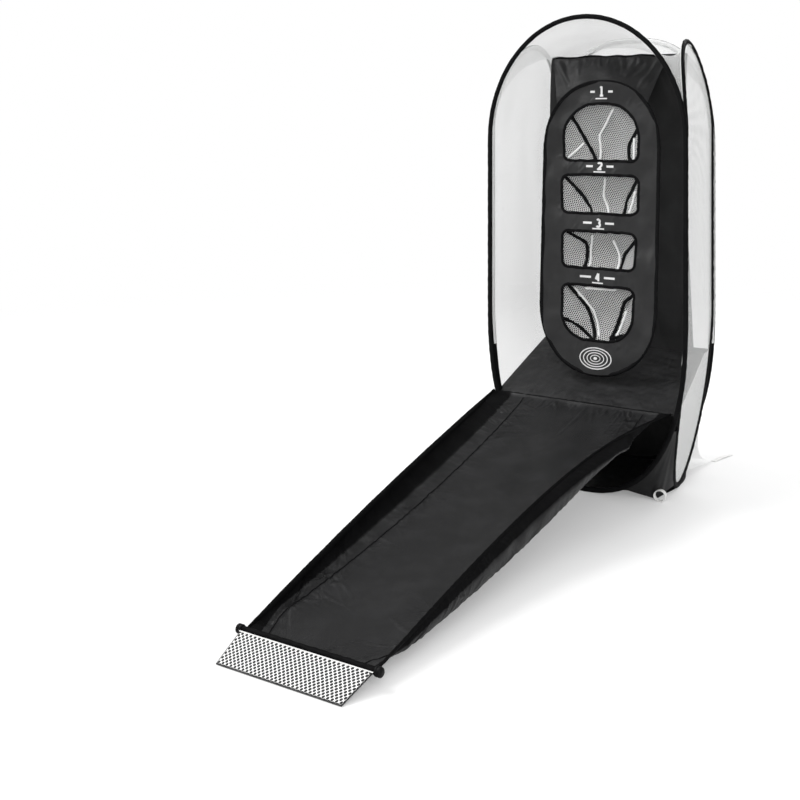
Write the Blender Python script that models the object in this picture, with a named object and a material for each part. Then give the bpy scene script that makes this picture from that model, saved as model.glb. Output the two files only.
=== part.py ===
"""Pop-up golf chipping net: four sprung hoops, net walls, a pocket target and a return chute.

Metres, +Z up. The mouth faces -Y, the chute runs out of it towards -Y, and Z = 0 is the ground.
The sizes below count depth from the front hoop's plane. The finished pieces are placed so that
the middle of the floor sheet's underside is the origin.
"""
import math

import bpy
import numpy as np

# ---- cage -----------------------------------------------------------------------------------
FRONT_WIDTH = 0.750          # over the bindings
BACK_WIDTH = 0.640
DEPTH = 0.464
FRONT_HEIGHT = 1.657
BACK_HEIGHT = 1.600
SIDE_HEIGHT = 1.572
FRONT_CROWN = 0.430          # height of the rounded top of the front and back hoops
FRONT_CROWN_POWER = 2.0      # its squareness, 2 is an ellipse
BACK_CROWN_POWER = 2.6
FRONT_FOOT = 0.600           # height over which their sides draw in to the ground
FOOT_POWER = 2.4             # squareness of their foot, 2 is an ellipse
SIDE_CROWN = 0.300
SIDE_FOOT = 0.390
TOP_BOW = 0.045              # how far the side hoops lean in at the top
FOOT_BOW = 0.080             # and at the ground
BOW_POWER = 1.5

# ---- hoop section ---------------------------------------------------------------------------
WIRE_RADIUS = 0.0025
BINDING_RADIUS = 0.0075
BINDING_SLIT = math.radians(10)      # half angle of the slit that the net is sewn into
FIT = 0.0003                 # clearance between touching pieces
SEAM = 0.0006                # clearance along a sewn edge
QUARTER_STEPS = 9            # segments in a quarter of a hoop
SIDE_RUNS = 5                # segments of a side hoop's long run, which bends with the wall

# ---- cloth and net --------------------------------------------------------------------------
NET_THICK = 0.0012
NET_TUCK = 0.0006            # a net's edge goes this far into the binding's slit
CLOTH_THICK = 0.0015
SKIRT_INSET = 0.0026         # the skirt's mid surface lies this far inside the side net
SKIRT_FOOT = 0.035           # height of the skirts' lower edge
BACK_SKIRT_EDGE = 0.0115     # the back skirt stops this far inside the back hoop's centre line

# ---- roof net ---------------------------------------------------------------------------------
ROOF_PULL = 1.2              # how hard it pulls across the cage, against front to back
ROOF_ACROSS = 16
ROOF_DEEP = 8

# ---- return slope and back sheet ------------------------------------------------------------
FOLD_HEIGHT = 0.304          # fold between chute and slope
FOLD_INSET = 0.010           # from the front hoop's inner edge
SLOPE_BACK_HEIGHT = 0.452
SHEET_PLANE = 0.345          # depth of the slope's back edge, where the sheet starts
SHEET_TOP_PLANE = 0.232      # its top is drawn forward, under the tops of the side hoops
SHEET_WIDTH = 0.552
SHEET_TOP_WIDTH = 0.524
SHEET_TOP = 1.506
SHEET_HANGER = 0.0021        # the target hangs this far in front of the sheet's top

# ---- pocket target --------------------------------------------------------------------------
TARGET_WIDTH = 0.452
TARGET_HEIGHT = 1.058
TARGET_FOOT = 0.378          # lowest point of its rim
TARGET_PLANE = 0.105         # how far back its lowest point hangs
TARGET_LEAN = math.radians(3.2)
TARGET_CORNER = 0.260        # height of the rounded ends
RIM_RADIUS = 0.0045
RIM_WIRE_RADIUS = 0.0018
FLAP_TOP_WIDTH = 0.420
FLAP_FOOT_WIDTH = 0.300
WINDOW_HEM = 0.010
WINDOW_RISE = 0.0012         # the hem stands this far off the panel
POCKET_DEPTH = 0.060
# name, width, height, distance of its top from the panel's top, top and bottom corner radii
WINDOWS = (
    ("top", 0.281, 0.198, 0.090, 0.120, 0.020),
    ("upper", 0.286, 0.131, 0.346, 0.026, 0.022),
    ("lower", 0.272, 0.124, 0.549, 0.022, 0.022),
    ("bottom", 0.264, 0.187, 0.742, 0.024, 0.095),
)

# ---- chute ----------------------------------------------------------------------------------
CHUTE_LENGTH = 1.563         # from the fold to the crossbar, level
CHUTE_FLOOR_TOP = 0.450      # width of its floor at the fold
CHUTE_FLOOR_END = 0.370
CHUTE_EDGE_TOP = 0.636       # width between the middles of its edge cords at the fold
CHUTE_EDGE_END = 0.390
CHUTE_SAG = 0.055            # how deep its floor hangs under its top edges
CHUTE_EDGE_START = 0.012     # its walls start this far in front of the fold
EDGE_CORD_RADIUS = 0.004
BAR_HEIGHT = 0.038
ROD_RADIUS = 0.005
SLEEVE_RADIUS = 0.0095
SLEEVE_LENGTH = 0.400
CAP_RADIUS = 0.0120
CAP_LENGTH = 0.016

# ---- apron at the chute's foot --------------------------------------------------------------
APRON_LENGTH = 0.114
APRON_TOP_WIDTH = 0.396
APRON_FOOT_WIDTH = 0.367
APRON_GAPS = (20, 8)
STRAND = 0.0040
HEM_WIDTH = 0.006

# ---- floor, gussets and webbing loops -------------------------------------------------------
FLOOR_WIDTH = 0.440
FRONT_PEG = (0.252, 0.046)   # where the front corners of the cage are drawn down to the ground
REAR_PEG = (0.266, 0.600)
GUSSET_TOP = 0.250
GUSSET_FOOT = 0.030          # it leaves the hoops at this height
GUSSET_ROWS = 7
LOOP_WIDTH = 0.018
LOOP_THICK = 0.0018
RING_RADIUS = 0.019
RING_SETBACK = -0.0003        # from the corner's peg point forward to the loop's edge
RING_SHIFT = 0.014           # and outward to its middle
STRAP_LENGTH = 0.130
STRAP_LAP = 0.010            # the net's corner is sewn on top of the strap
STRAP_ANGLE = math.radians(77)

BLACK = (0.012, 0.012, 0.013)
CLOTH = (0.030, 0.030, 0.032)
WHITE = (0.82, 0.83, 0.82)
STEEL = (0.35, 0.35, 0.36)


def start_empty():
    """Clear every object, so that the model is all there is."""
    for thing in list(bpy.data.objects):
        bpy.data.objects.remove(thing, do_unlink=True)


def material(name, colour, roughness, metallic=0.0):
    """Make or fetch a plain surface."""
    made = bpy.data.materials.get(name)
    if made:
        return made
    made = bpy.data.materials.new(name)
    made.use_nodes = True
    shader = made.node_tree.nodes["Principled BSDF"]
    shader.inputs["Base Color"].default_value = (*colour, 1.0)
    shader.inputs["Roughness"].default_value = roughness
    shader.inputs["Metallic"].default_value = metallic
    return made


def binding_tape():
    return material("binding_tape", BLACK, 0.7)


def black_cloth():
    return material("black_cloth", CLOTH, 0.5)


def white_net():
    return material("white_net", WHITE, 0.8)


def white_webbing():
    return material("white_webbing", WHITE, 0.7)


def spring_steel():
    return material("spring_steel", STEEL, 0.35, 1.0)


def black_plastic():
    return material("black_plastic", BLACK, 0.4)


def add_object(name, points, faces, surface, pivot=None):
    """Add one closed mesh. With a pivot, the object's origin lies there."""
    home = np.array((0.0, BACK_PLANE / 2, 0.0))
    origin = home if pivot is None else np.array(pivot)
    mesh = bpy.data.meshes.new(name)
    mesh.from_pydata([tuple(np.array(p) - origin) for p in points], [], faces)
    mesh.materials.append(surface)
    mesh.shade_smooth()
    mesh.set_sharp_from_angle(angle=math.radians(40))
    thing = bpy.data.objects.new(name, mesh)
    thing.location = origin - home
    bpy.context.collection.objects.link(thing)
    return thing


def unit(v):
    return v / np.linalg.norm(v)


def mirrored(points):
    """The same points on the other side of the middle plane."""
    return np.array(points) * (-1.0, 1.0, 1.0)


# ---- solids ---------------------------------------------------------------------------------

def slab(name, grid, thick, surface, pivot=None):
    """A thin closed sheet on a grid of points, half its thickness to each side."""
    grid = np.array(grid, float)
    rows, cols = grid.shape[:2]
    along = np.gradient(grid, axis=0)
    across = np.gradient(grid, axis=1)
    normal = np.cross(across, along)
    normal /= np.linalg.norm(normal, axis=2, keepdims=True)
    top = (grid + normal * thick / 2).reshape(-1, 3)
    low = (grid - normal * thick / 2).reshape(-1, 3)
    count = rows * cols
    faces = []
    for r in range(rows - 1):
        for c in range(cols - 1):
            a = r * cols + c
            b, d, e = a + 1, a + cols + 1, a + cols
            left_half = 2 * c < cols - 1
            pair = ((a, b, d), (a, d, e)) if left_half else ((a, b, e), (b, d, e))
            for triple in pair:
                faces.append(triple)
                faces.append(tuple(count + i for i in reversed(triple)))
    rim = [c for c in range(cols)]
    rim += [r * cols + cols - 1 for r in range(1, rows)]
    rim += [(rows - 1) * cols + c for c in range(cols - 2, -1, -1)]
    rim += [r * cols for r in range(rows - 2, 0, -1)]
    for a, b in zip(rim, rim[1:] + rim[:1]):
        faces.append((b, a, count + a, count + b))
    return add_object(name, np.vstack((top, low)), faces, surface, pivot)


def swept_loop(name, path, outward, section, surface, pivot=None):
    """A closed ring of one section. The section's first axis points along outward."""
    path = np.array(path, float)
    steps = len(path)
    sides = len(section)
    points = []
    for i in range(steps):
        tangent = unit(path[(i + 1) % steps] - path[i - 1])
        out = unit(outward[i] - tangent * np.dot(outward[i], tangent))
        side = np.cross(tangent, out)
        points += [path[i] + out * a + side * b for a, b in section]
    faces = []
    for i in range(steps):
        j = (i + 1) % steps
        for k in range(sides):
            m = (k + 1) % sides
            faces.append((i * sides + k, i * sides + m, j * sides + m, j * sides + k))
    return add_object(name, points, faces, surface, pivot)


def rod(name, start, end, radius, surface, bore=0.0, sides=12, pivot=None):
    """A straight round bar, or a tube when it has a bore."""
    start = np.array(start, float)
    end = np.array(end, float)
    axis = unit(end - start)
    first = unit(np.cross(axis, (0.0, 0.0, 1.0)))
    second = np.cross(axis, first)
    points = []
    radii = (radius, bore) if bore else (radius,)
    for r in radii:
        for place in (start, end):
            for k in range(sides):
                turn = math.tau * k / sides
                points.append(place + r * (first * math.cos(turn) + second * math.sin(turn)))
    faces = []
    for k in range(sides):
        m = (k + 1) % sides
        faces.append((k, m, sides + m, sides + k))
        if bore:
            inner = 2 * sides
            faces.append((inner + m, inner + k, inner + sides + k, inner + sides + m))
            faces.append((m, k, inner + k, inner + m))
            faces.append((sides + k, sides + m, inner + sides + m, inner + sides + k))
    if not bore:
        faces.append(tuple(range(sides - 1, -1, -1)))
        faces.append(tuple(range(sides, 2 * sides)))
    return add_object(name, points, faces, surface, pivot)


def ring_plate(name, inner, outer, lift, surface, pivot=None):
    """A flat closed ring between two loops of points, raised by the vector lift."""
    steps = len(inner)
    lift = np.array(lift)
    points = [*inner, *outer, *(np.array(inner) + lift), *(np.array(outer) + lift)]
    faces = []
    for i in range(steps):
        j = (i + 1) % steps
        faces.append((i, j, steps + j, steps + i))
        faces.append((2 * steps + j, 2 * steps + i, 3 * steps + i, 3 * steps + j))
        faces.append((j, i, 2 * steps + i, 2 * steps + j))
        faces.append((steps + i, steps + j, 3 * steps + j, 3 * steps + i))
    return add_object(name, points, faces, surface, pivot)


# ---- outlines -------------------------------------------------------------------------------

def quarter(width, height, power, steps):
    """Points of a quarter superellipse, from its side (width, 0) to its end (0, height)."""
    made = []
    for k in range(steps + 1):
        turn = math.pi / 2 * k / steps
        made.append((width * math.cos(turn) ** (2 / power), height * math.sin(turn) ** (2 / power)))
    return made


def hoop_outline(half, height, crown, foot, foot_power, crown_power=2.0, runs=2):
    """The hoop's centre line as (across, up), from the foot round by the right side."""
    low = [(a, BINDING_RADIUS + foot - b) for a, b in quarter(half, foot, foot_power, QUARTER_STEPS)]
    level = height - BINDING_RADIUS - crown
    high = [(a, level + b) for a, b in quarter(half, crown, crown_power, QUARTER_STEPS)]
    start = BINDING_RADIUS + foot
    middle = [(half, start + (level - start) * k / runs) for k in range(1, runs)]
    right = low[::-1] + middle + high
    left = [(-a, b) for a, b in right[-2:0:-1]]
    return right + left


def inward(outline, distance):
    """The same closed outline, moved inwards by a distance."""
    line = np.array(outline)
    after = np.roll(line, -1, axis=0)
    before = np.roll(line, 1, axis=0)
    tangent = after - before
    tangent /= np.linalg.norm(tangent, axis=1, keepdims=True)
    normal = np.stack((-tangent[:, 1], tangent[:, 0]), axis=1)
    return line + normal * distance


FRONT_HALF = FRONT_WIDTH / 2 - BINDING_RADIUS
BACK_HALF = BACK_WIDTH / 2 - BINDING_RADIUS
BACK_PLANE = DEPTH - 2 * BINDING_RADIUS          # front hoop's centre line is at Y = 0
SIDE_FRONT = 2 * BINDING_RADIUS + FIT
SIDE_REAR = BACK_PLANE - 2 * BINDING_RADIUS - FIT
SIDE_MIDDLE = (SIDE_FRONT + SIDE_REAR) / 2
SIDE_HALF = (SIDE_REAR - SIDE_FRONT) / 2
CROWN_LEVEL = SIDE_HEIGHT - BINDING_RADIUS - SIDE_CROWN


def side_wall(y, z):
    """How far out the side wall stands at this depth and height."""
    half = FRONT_HALF + (BACK_HALF - FRONT_HALF) * y / BACK_PLANE
    low = max(0.0, (FRONT_FOOT - z) / FRONT_FOOT)
    high = max(0.0, (z - CROWN_LEVEL) / SIDE_CROWN)
    return half - FOOT_BOW * low ** BOW_POWER - TOP_BOW * high ** BOW_POWER


def front_outline():
    sizes = (FRONT_HALF, FRONT_HEIGHT, FRONT_CROWN, FRONT_FOOT, FOOT_POWER)
    return hoop_outline(*sizes, FRONT_CROWN_POWER)


def back_outline():
    sizes = (BACK_HALF, BACK_HEIGHT, FRONT_CROWN, FRONT_FOOT, FOOT_POWER)
    return hoop_outline(*sizes, BACK_CROWN_POWER)


def side_outline():
    return hoop_outline(SIDE_HALF, SIDE_HEIGHT, SIDE_CROWN, SIDE_FOOT, 2.0, 2.0, SIDE_RUNS)


def on_side(outline):
    """Put a side outline's points on the right side wall."""
    return np.array([(side_wall(SIDE_MIDDLE + a, z), SIDE_MIDDLE + a, z) for a, z in outline])


# ---- hoops ----------------------------------------------------------------------------------

def wire_section(radius, sides=6):
    turns = [math.tau * k / sides for k in range(sides)]
    return [(radius * math.cos(t), radius * math.sin(t)) for t in turns]


def binding_section(outer, inner, slit_turn, outer_steps=8, inner_steps=5):
    """A folded tape round a wire, open at a slit that faces slit_turn."""
    start = slit_turn + BINDING_SLIT
    sweep = math.tau - 2 * BINDING_SLIT
    made = []
    for k in range(outer_steps + 1):
        turn = start + sweep * k / outer_steps
        made.append((outer * math.cos(turn), outer * math.sin(turn)))
    for k in range(inner_steps, -1, -1):
        turn = start + sweep * k / inner_steps
        made.append((inner * math.cos(turn), inner * math.sin(turn)))
    return made


def add_hoop(name, path, outward, slit_turn):
    """A spring wire loop and the folded tape that carries it."""
    bore = (WIRE_RADIUS + FIT) / math.cos(math.pi / 6)
    swept_loop(name + "_hoop_wire", path, outward, wire_section(WIRE_RADIUS), spring_steel())
    tape = binding_section(BINDING_RADIUS, bore, slit_turn)
    swept_loop(name + "_hoop_binding", path, outward, tape, binding_tape())


def outward_2d(outline):
    """Unit vectors that point out of a closed outline."""
    moved = inward(outline, -1.0)
    return moved - np.array(outline)


def build_hoops():
    outline = front_outline()
    path = [(a, 0.0, z) for a, z in outline]
    out = np.array([(a, 0.0, z) for a, z in outward_2d(outline)])
    add_hoop("front", path, out, math.pi / 2)
    outline = back_outline()
    path = [(a, BACK_PLANE, z) for a, z in outline]
    out = np.array([(a, 0.0, z) for a, z in outward_2d(outline)])
    add_hoop("back", path, out, math.pi)
    outline = side_outline()
    path = on_side(outline)
    out = on_side(inward(outline, -NET_THICK)) - path
    add_hoop("right", path, out, math.pi)
    add_hoop("left", mirrored(path)[::-1], mirrored(out)[::-1], math.pi)


# ---- net walls ------------------------------------------------------------------------------

def filled_rows(outline, columns):
    """Rows across a closed outline that runs from its foot up the right side and back down."""
    count = len(outline)
    half = count // 2
    rows = []
    tip = 0.004
    foot = outline[0]
    rows.append([(foot[0] + tip * (2 * c / (columns - 1) - 1), foot[1]) for c in range(columns)])
    for k in range(1, half):
        right = np.array(outline[k])
        left = np.array(outline[count - k])
        rows.append([tuple(left + (right - left) * c / (columns - 1)) for c in range(columns)])
    head = outline[half]
    rows.append([(head[0] + tip * (2 * c / (columns - 1) - 1), head[1]) for c in range(columns)])
    return np.array(rows)


def side_net_grid():
    rows = filled_rows(inward(side_outline(), BINDING_RADIUS - NET_TUCK), 4)
    return np.array([[(side_wall(SIDE_MIDDLE + a, z), SIDE_MIDDLE + a, z) for a, z in r] for r in rows])


def membrane(edge_grid, rounds=600):
    """Draw a net taut inside the fixed edge of a grid."""
    grid = edge_grid.copy()
    for _ in range(rounds):
        around = grid[:-2, 1:-1] + grid[2:, 1:-1] + ROOF_PULL * (grid[1:-1, :-2] + grid[1:-1, 2:])
        grid[1:-1, 1:-1] = around / (2 + 2 * ROOF_PULL)
    return grid


ROOF_EDGE = BINDING_RADIUS + NET_THICK


def crown_point(half, height, power, turn):
    """A point on the rounded top of a front or back hoop, turn 0 at its right end."""
    level = height - BINDING_RADIUS - FRONT_CROWN
    across = math.copysign(abs(math.cos(turn)) ** (2 / power), math.cos(turn))
    return half * across, level + FRONT_CROWN * math.sin(turn) ** (2 / power)


def roof_grid():
    """The roof net, sewn along the crowns of all four hoops."""
    first = math.asin(0.06 / FRONT_CROWN)
    turns = [first + (math.pi - 2 * first) * c / ROOF_ACROSS for c in range(ROOF_ACROSS + 1)]
    grid = np.zeros((ROOF_DEEP + 1, ROOF_ACROSS + 1, 3))
    tuck = 2 * ROOF_EDGE
    for c, turn in enumerate(turns):
        x, z = crown_point(FRONT_HALF - ROOF_EDGE, FRONT_HEIGHT, FRONT_CROWN_POWER, turn)
        grid[0, c] = (x, ROOF_EDGE, z)
        x, z = crown_point(BACK_HALF - ROOF_EDGE, BACK_HEIGHT, BACK_CROWN_POWER, turn)
        grid[ROOF_DEEP, c] = (x, BACK_PLANE - ROOF_EDGE, z)
    low = math.asin((grid[0, 0, 2] - CROWN_LEVEL) / SIDE_CROWN)
    high = math.pi - math.asin((grid[ROOF_DEEP, 0, 2] - CROWN_LEVEL) / SIDE_CROWN)
    for r in range(1, ROOF_DEEP):
        turn = low + (high - low) * r / ROOF_DEEP
        y = SIDE_MIDDLE - SIDE_HALF * math.cos(turn)
        z = CROWN_LEVEL + SIDE_CROWN * math.sin(turn)
        x = side_wall(y, z) - ROOF_EDGE
        grid[r, 0] = (x, y, z)
        grid[r, ROOF_ACROSS] = (-x, y, z)
    for corner in ((0, 0), (0, ROOF_ACROSS), (ROOF_DEEP, 0), (ROOF_DEEP, ROOF_ACROSS)):
        x, y, z = grid[corner]
        inner = side_wall(y, z) - tuck
        grid[corner] = (math.copysign(min(abs(x), inner), x), y, z)
    return membrane(grid)


def build_nets():
    right = side_net_grid()
    slab("right_net", right, NET_THICK, white_net())
    slab("left_net", mirrored(right)[:, ::-1], NET_THICK, white_net())
    rows = filled_rows(inward(back_outline(), BINDING_RADIUS - NET_TUCK), 3)
    slab("back_net", [[(a, BACK_PLANE, z) for a, z in r] for r in rows], NET_THICK, white_net())
    slab("roof_net", roof_grid(), NET_THICK, white_net())


# ---- lower cage -----------------------------------------------------------------------------

def slope_height(y):
    rise = SLOPE_BACK_HEIGHT - FOLD_HEIGHT
    return FOLD_HEIGHT + rise * min(1.0, max(0.0, y / SHEET_PLANE))


def hoop_half_at(z):
    """Half width of the front hoop's centre line near the ground."""
    drop = (BINDING_RADIUS + FRONT_FOOT - z) / FRONT_FOOT
    return FRONT_HALF * (1 - drop ** FOOT_POWER) ** (1 / FOOT_POWER)


def side_edge(z):
    """Half depth of the side net's lower part at a height."""
    reach = SIDE_HALF - BINDING_RADIUS - CLOTH_THICK
    tall = SIDE_FOOT - BINDING_RADIUS - CLOTH_THICK
    drop = min(1.0, max(0.0, (BINDING_RADIUS + SIDE_FOOT - z) / tall))
    return reach * math.sqrt(max(0.0, 1 - drop ** 2))


def build_slope():
    """The slope that rolls a ball back out, and the sheet behind the target."""
    front_half = hoop_half_at(FOLD_HEIGHT) - FOLD_INSET
    stations = [FIT, SIDE_FRONT + BINDING_RADIUS + SEAM]
    stations += list(np.linspace(stations[-1], SHEET_PLANE, 6)[1:])
    rows = []
    for k, y in enumerate(stations):
        z = slope_height(y)
        half = side_wall(y, z) - SKIRT_INSET - CLOTH_THICK / 2 - SEAM
        half = min(half, front_half) if k < 2 else half
        rows.append([(half * s, y, z) for s in (-1.0, -0.5, 0.0, 0.5, 1.0)])
    slab("return_slope", rows, CLOTH_THICK, black_cloth())
    foot = (SHEET_WIDTH / 2, SHEET_PLANE, SLOPE_BACK_HEIGHT + CLOTH_THICK / 2 + SEAM)
    top = (SHEET_TOP_WIDTH / 2, SHEET_TOP_PLANE, SHEET_TOP)
    grid = [[(half * s, y, z) for s in (-1.0, 0.0, 1.0)] for half, y, z in (foot, top)]
    slab("back_sheet", grid, CLOTH_THICK, black_cloth())


def skirt_grid():
    """Black cloth inside the side net, from near the ground up to the slope's edge."""
    foot = SKIRT_FOOT
    rows = []
    for v in np.linspace(0.0, 1.0, 7):
        row = []
        for u in np.linspace(-1.0, 1.0, 7):
            z = foot
            for _ in range(8):
                y = SIDE_MIDDLE + u * side_edge(z)
                z = foot + (slope_height(y) - foot) * v
            y = SIDE_MIDDLE + u * side_edge(z)
            row.append((side_wall(y, z) - SKIRT_INSET, y, z))
        rows.append(row)
    return np.array(rows)


def back_skirt_grid():
    """Black cloth inside the back net, as high as the slope's back edge."""
    rows = []
    y = BACK_PLANE - (NET_THICK + CLOTH_THICK) / 2 - SEAM
    for z in np.linspace(SLOPE_BACK_HEIGHT, SKIRT_FOOT, 8):
        half = hoop_half_at(z - BACK_SKIRT_EDGE) * BACK_HALF / FRONT_HALF - BACK_SKIRT_EDGE
        rows.append([(half * s, y, z) for s in (-1.0, 0.0, 1.0)])
    return rows


def gusset_grid(hoop_side, wall_side, peg):
    """Cloth between two hoops' feet, drawn down to a peg point on the ground."""
    rows = []
    count = len(hoop_side)
    for k in range(count):
        a = np.array(hoop_side[k])
        b = np.array(wall_side[k])
        pull = (k / (count - 1)) ** 2
        middle = (a + b) / 2 * (1 - pull) + np.array(peg) * pull
        rows.append([a, (a + middle) / 2, middle, (b + middle) / 2, b])
    return np.array(rows)[::-1]


def hoop_foot(narrow, plane, first_turn):
    """Points along a front or back hoop's foot. The seam winds from its side to its back."""
    edge = BINDING_RADIUS + NET_THICK
    levels = np.linspace(GUSSET_TOP, GUSSET_FOOT, GUSSET_ROWS)
    turns = np.radians(np.linspace(first_turn, 90, GUSSET_ROWS))
    halves = [hoop_half_at(z) * narrow for z in levels]
    seam = zip(halves, levels, turns)
    return [(half + edge * math.cos(t), plane + edge * math.sin(t), z) for half, z, t in seam]


def wall_foot(direction):
    """Points along the outside of a side hoop's foot, to the front (-1) or the rear (1)."""
    edge = BINDING_RADIUS + NET_THICK
    middle = BINDING_RADIUS + SIDE_FOOT
    reach = SIDE_HALF + edge
    tall = SIDE_FOOT + edge
    first = math.asin((middle - GUSSET_TOP) / tall)
    last = math.asin((middle - GUSSET_FOOT) / tall)
    points = []
    for turn in np.linspace(first, last, GUSSET_ROWS):
        y = SIDE_MIDDLE + direction * reach * math.cos(turn)
        z = middle - tall * math.sin(turn)
        points.append((side_wall(y, z), y, z))
    return points


def front_gusset():
    """Right front corner, between the front hoop and the right hoop."""
    return gusset_grid(hoop_foot(1.0, 0.0, 45), wall_foot(-1), (*FRONT_PEG, CLOTH_THICK))


def rear_gusset():
    """Right rear corner, of white net, drawn out behind the cage."""
    hoop = hoop_foot(BACK_HALF / FRONT_HALF, BACK_PLANE, 5)
    return gusset_grid(hoop, wall_foot(1), (*REAR_PEG, LOOP_THICK + SEAM + NET_THICK / 2))[:, ::-1]


def build_lower_cage():
    right = skirt_grid()
    slab("right_skirt", right, CLOTH_THICK, black_cloth())
    slab("left_skirt", mirrored(right)[:, ::-1], CLOTH_THICK, black_cloth())
    slab("back_skirt", back_skirt_grid(), CLOTH_THICK, black_cloth())
    half = FLOOR_WIDTH / 2
    near = math.sqrt(BINDING_RADIUS ** 2 - (BINDING_RADIUS - CLOTH_THICK) ** 2) + FIT
    far = BACK_PLANE - near
    z = CLOTH_THICK / 2
    grid = [[(half * s, y, z) for s in (-1.0, 1.0)] for y in (near, far)]
    slab("floor_sheet", grid, CLOTH_THICK, black_cloth())
    corner = front_gusset()
    slab("front_right_gusset", corner, CLOTH_THICK, black_cloth())
    slab("front_left_gusset", mirrored(corner)[:, ::-1], CLOTH_THICK, black_cloth())
    corner = rear_gusset()
    slab("rear_right_gusset", corner, NET_THICK, white_net())
    slab("rear_left_gusset", mirrored(corner)[:, ::-1], NET_THICK, white_net())


# ---- webbing loops --------------------------------------------------------------------------

def front_ring_path(side):
    """Centre line of a webbing loop that stands open in front of a corner."""
    x = side * (FRONT_PEG[0] + RING_SHIFT)
    y = FRONT_PEG[1] - RING_SETBACK - LOOP_WIDTH / 2
    z = RING_RADIUS + LOOP_THICK / 2
    steps = 20
    turns = [math.tau * k / steps for k in range(steps)]
    return np.array([(x - RING_RADIUS * math.cos(t), y, z + RING_RADIUS * math.sin(t)) for t in turns])


def build_loops():
    for side, name in ((1, "right"), (-1, "left")):
        path = front_ring_path(side)
        out = path - path.mean(axis=0)
        half_wide = LOOP_WIDTH / 2
        half_thick = LOOP_THICK / 2
        band = [(half_thick, half_wide), (-half_thick, half_wide)]
        band += [(-half_thick, -half_wide), (half_thick, -half_wide)]
        hinge = (side * FRONT_PEG[0], FRONT_PEG[1] - RING_SETBACK, 0.0)
        swept_loop("front_%s_loop" % name, path, out, band, white_webbing(), hinge)
        start = np.array((side * REAR_PEG[0], REAR_PEG[1] - STRAP_LAP, LOOP_THICK / 2))
        along = np.array((side * math.cos(STRAP_ANGLE), math.sin(STRAP_ANGLE), 0.0))
        across = np.array((-along[1], along[0], 0.0)) * half_wide
        rows = [[start + along * s - across, start + along * s + across] for s in (STRAP_LENGTH, 0.0)]
        slab("rear_%s_strap" % name, rows, LOOP_THICK, white_webbing(), tuple(start))


# ---- pocket target --------------------------------------------------------------------------

PIVOT_Y = SHEET_TOP_PLANE - SHEET_HANGER
TARGET_PIVOT = (0.0, PIVOT_Y, SHEET_TOP)
TARGET_HALF = TARGET_WIDTH / 2 - RIM_RADIUS


def on_target(across, up, back=0.0):
    """A point of the leaning target: up runs from its lowest point, back is behind its face."""
    lean_up = (0.0, math.sin(TARGET_LEAN), math.cos(TARGET_LEAN))
    lean_back = (0.0, math.cos(TARGET_LEAN), -math.sin(TARGET_LEAN))
    y = TARGET_PLANE + up * lean_up[1] + back * lean_back[1]
    z = TARGET_FOOT + up * lean_up[2] + back * lean_back[2]
    return (across, y, z)


def target_outline():
    """Rim centre line as (across, up), from its foot round by the right side."""
    tall = TARGET_CORNER - RIM_RADIUS
    low = [(a, TARGET_CORNER - b) for a, b in quarter(TARGET_HALF, tall, 2.2, 8)]
    level = TARGET_HEIGHT - TARGET_CORNER
    high = [(a, level + b) for a, b in quarter(TARGET_HALF, tall, 2.2, 8)]
    right = low[::-1] + high
    return right + [(-a, b) for a, b in right[-2:0:-1]]


def window_outline(wide, tall, top_corner, foot_corner, centre, grow=0.0):
    """A window as (across, up): a box whose corners have their own radii."""
    made = []
    half = wide / 2
    steps = 5
    plan = ((1, -1, foot_corner), (1, 1, top_corner), (-1, 1, top_corner), (-1, -1, foot_corner))
    for n, (sx, sy, radius) in enumerate(plan):
        wide_corner = min(radius, half - 0.002)
        tall_corner = min(radius, tall - 0.024) if radius > tall / 2 else radius
        for k in range(steps + 1):
            turn = math.pi / 2 * (n - 1 + k / steps)
            x = sx * (half - wide_corner) + (wide_corner + grow) * math.cos(turn)
            y = centre + sy * (tall / 2 - tall_corner) + (tall_corner + grow) * math.sin(turn)
            made.append((x, y))
    return made


def window_place(window):
    """Centre height of a window on the target."""
    return TARGET_HEIGHT - window[3] - window[2] / 2


def build_target_panel():
    """The flat face of the target, with its four windows cut out."""
    edge = inward(target_outline(), RIM_RADIUS + FIT)
    count = len(edge)
    half = CLOTH_THICK / 2
    points = [on_target(a, b, -half) for a, b in edge] + [on_target(a, b, half) for a, b in edge]
    faces = [tuple(range(count)), tuple(range(2 * count - 1, count - 1, -1))]
    faces += [((k + 1) % count, k, count + k, count + (k + 1) % count) for k in range(count)]
    panel = add_object("target_panel", points, faces, black_cloth(), TARGET_PIVOT)
    for window in WINDOWS:
        name, wide, tall, _, top_corner, foot_corner = window
        hole = window_outline(wide, tall, top_corner, foot_corner, window_place(window))
        steps = len(hole)
        reach = 0.02
        points = [on_target(a, b, -reach) for a, b in hole] + [on_target(a, b, reach) for a, b in hole]
        faces = [tuple(range(steps)), tuple(range(2 * steps - 1, steps - 1, -1))]
        faces += [((k + 1) % steps, k, steps + k, steps + (k + 1) % steps) for k in range(steps)]
        cutter = add_object("cut_%s_window" % name, points, faces, black_cloth())
        cutter.hide_render = True
        cutter.display_type = "WIRE"
        cut = panel.modifiers.new("window_" + name, "BOOLEAN")
        cut.operation = "DIFFERENCE"
        cut.object = cutter


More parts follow.
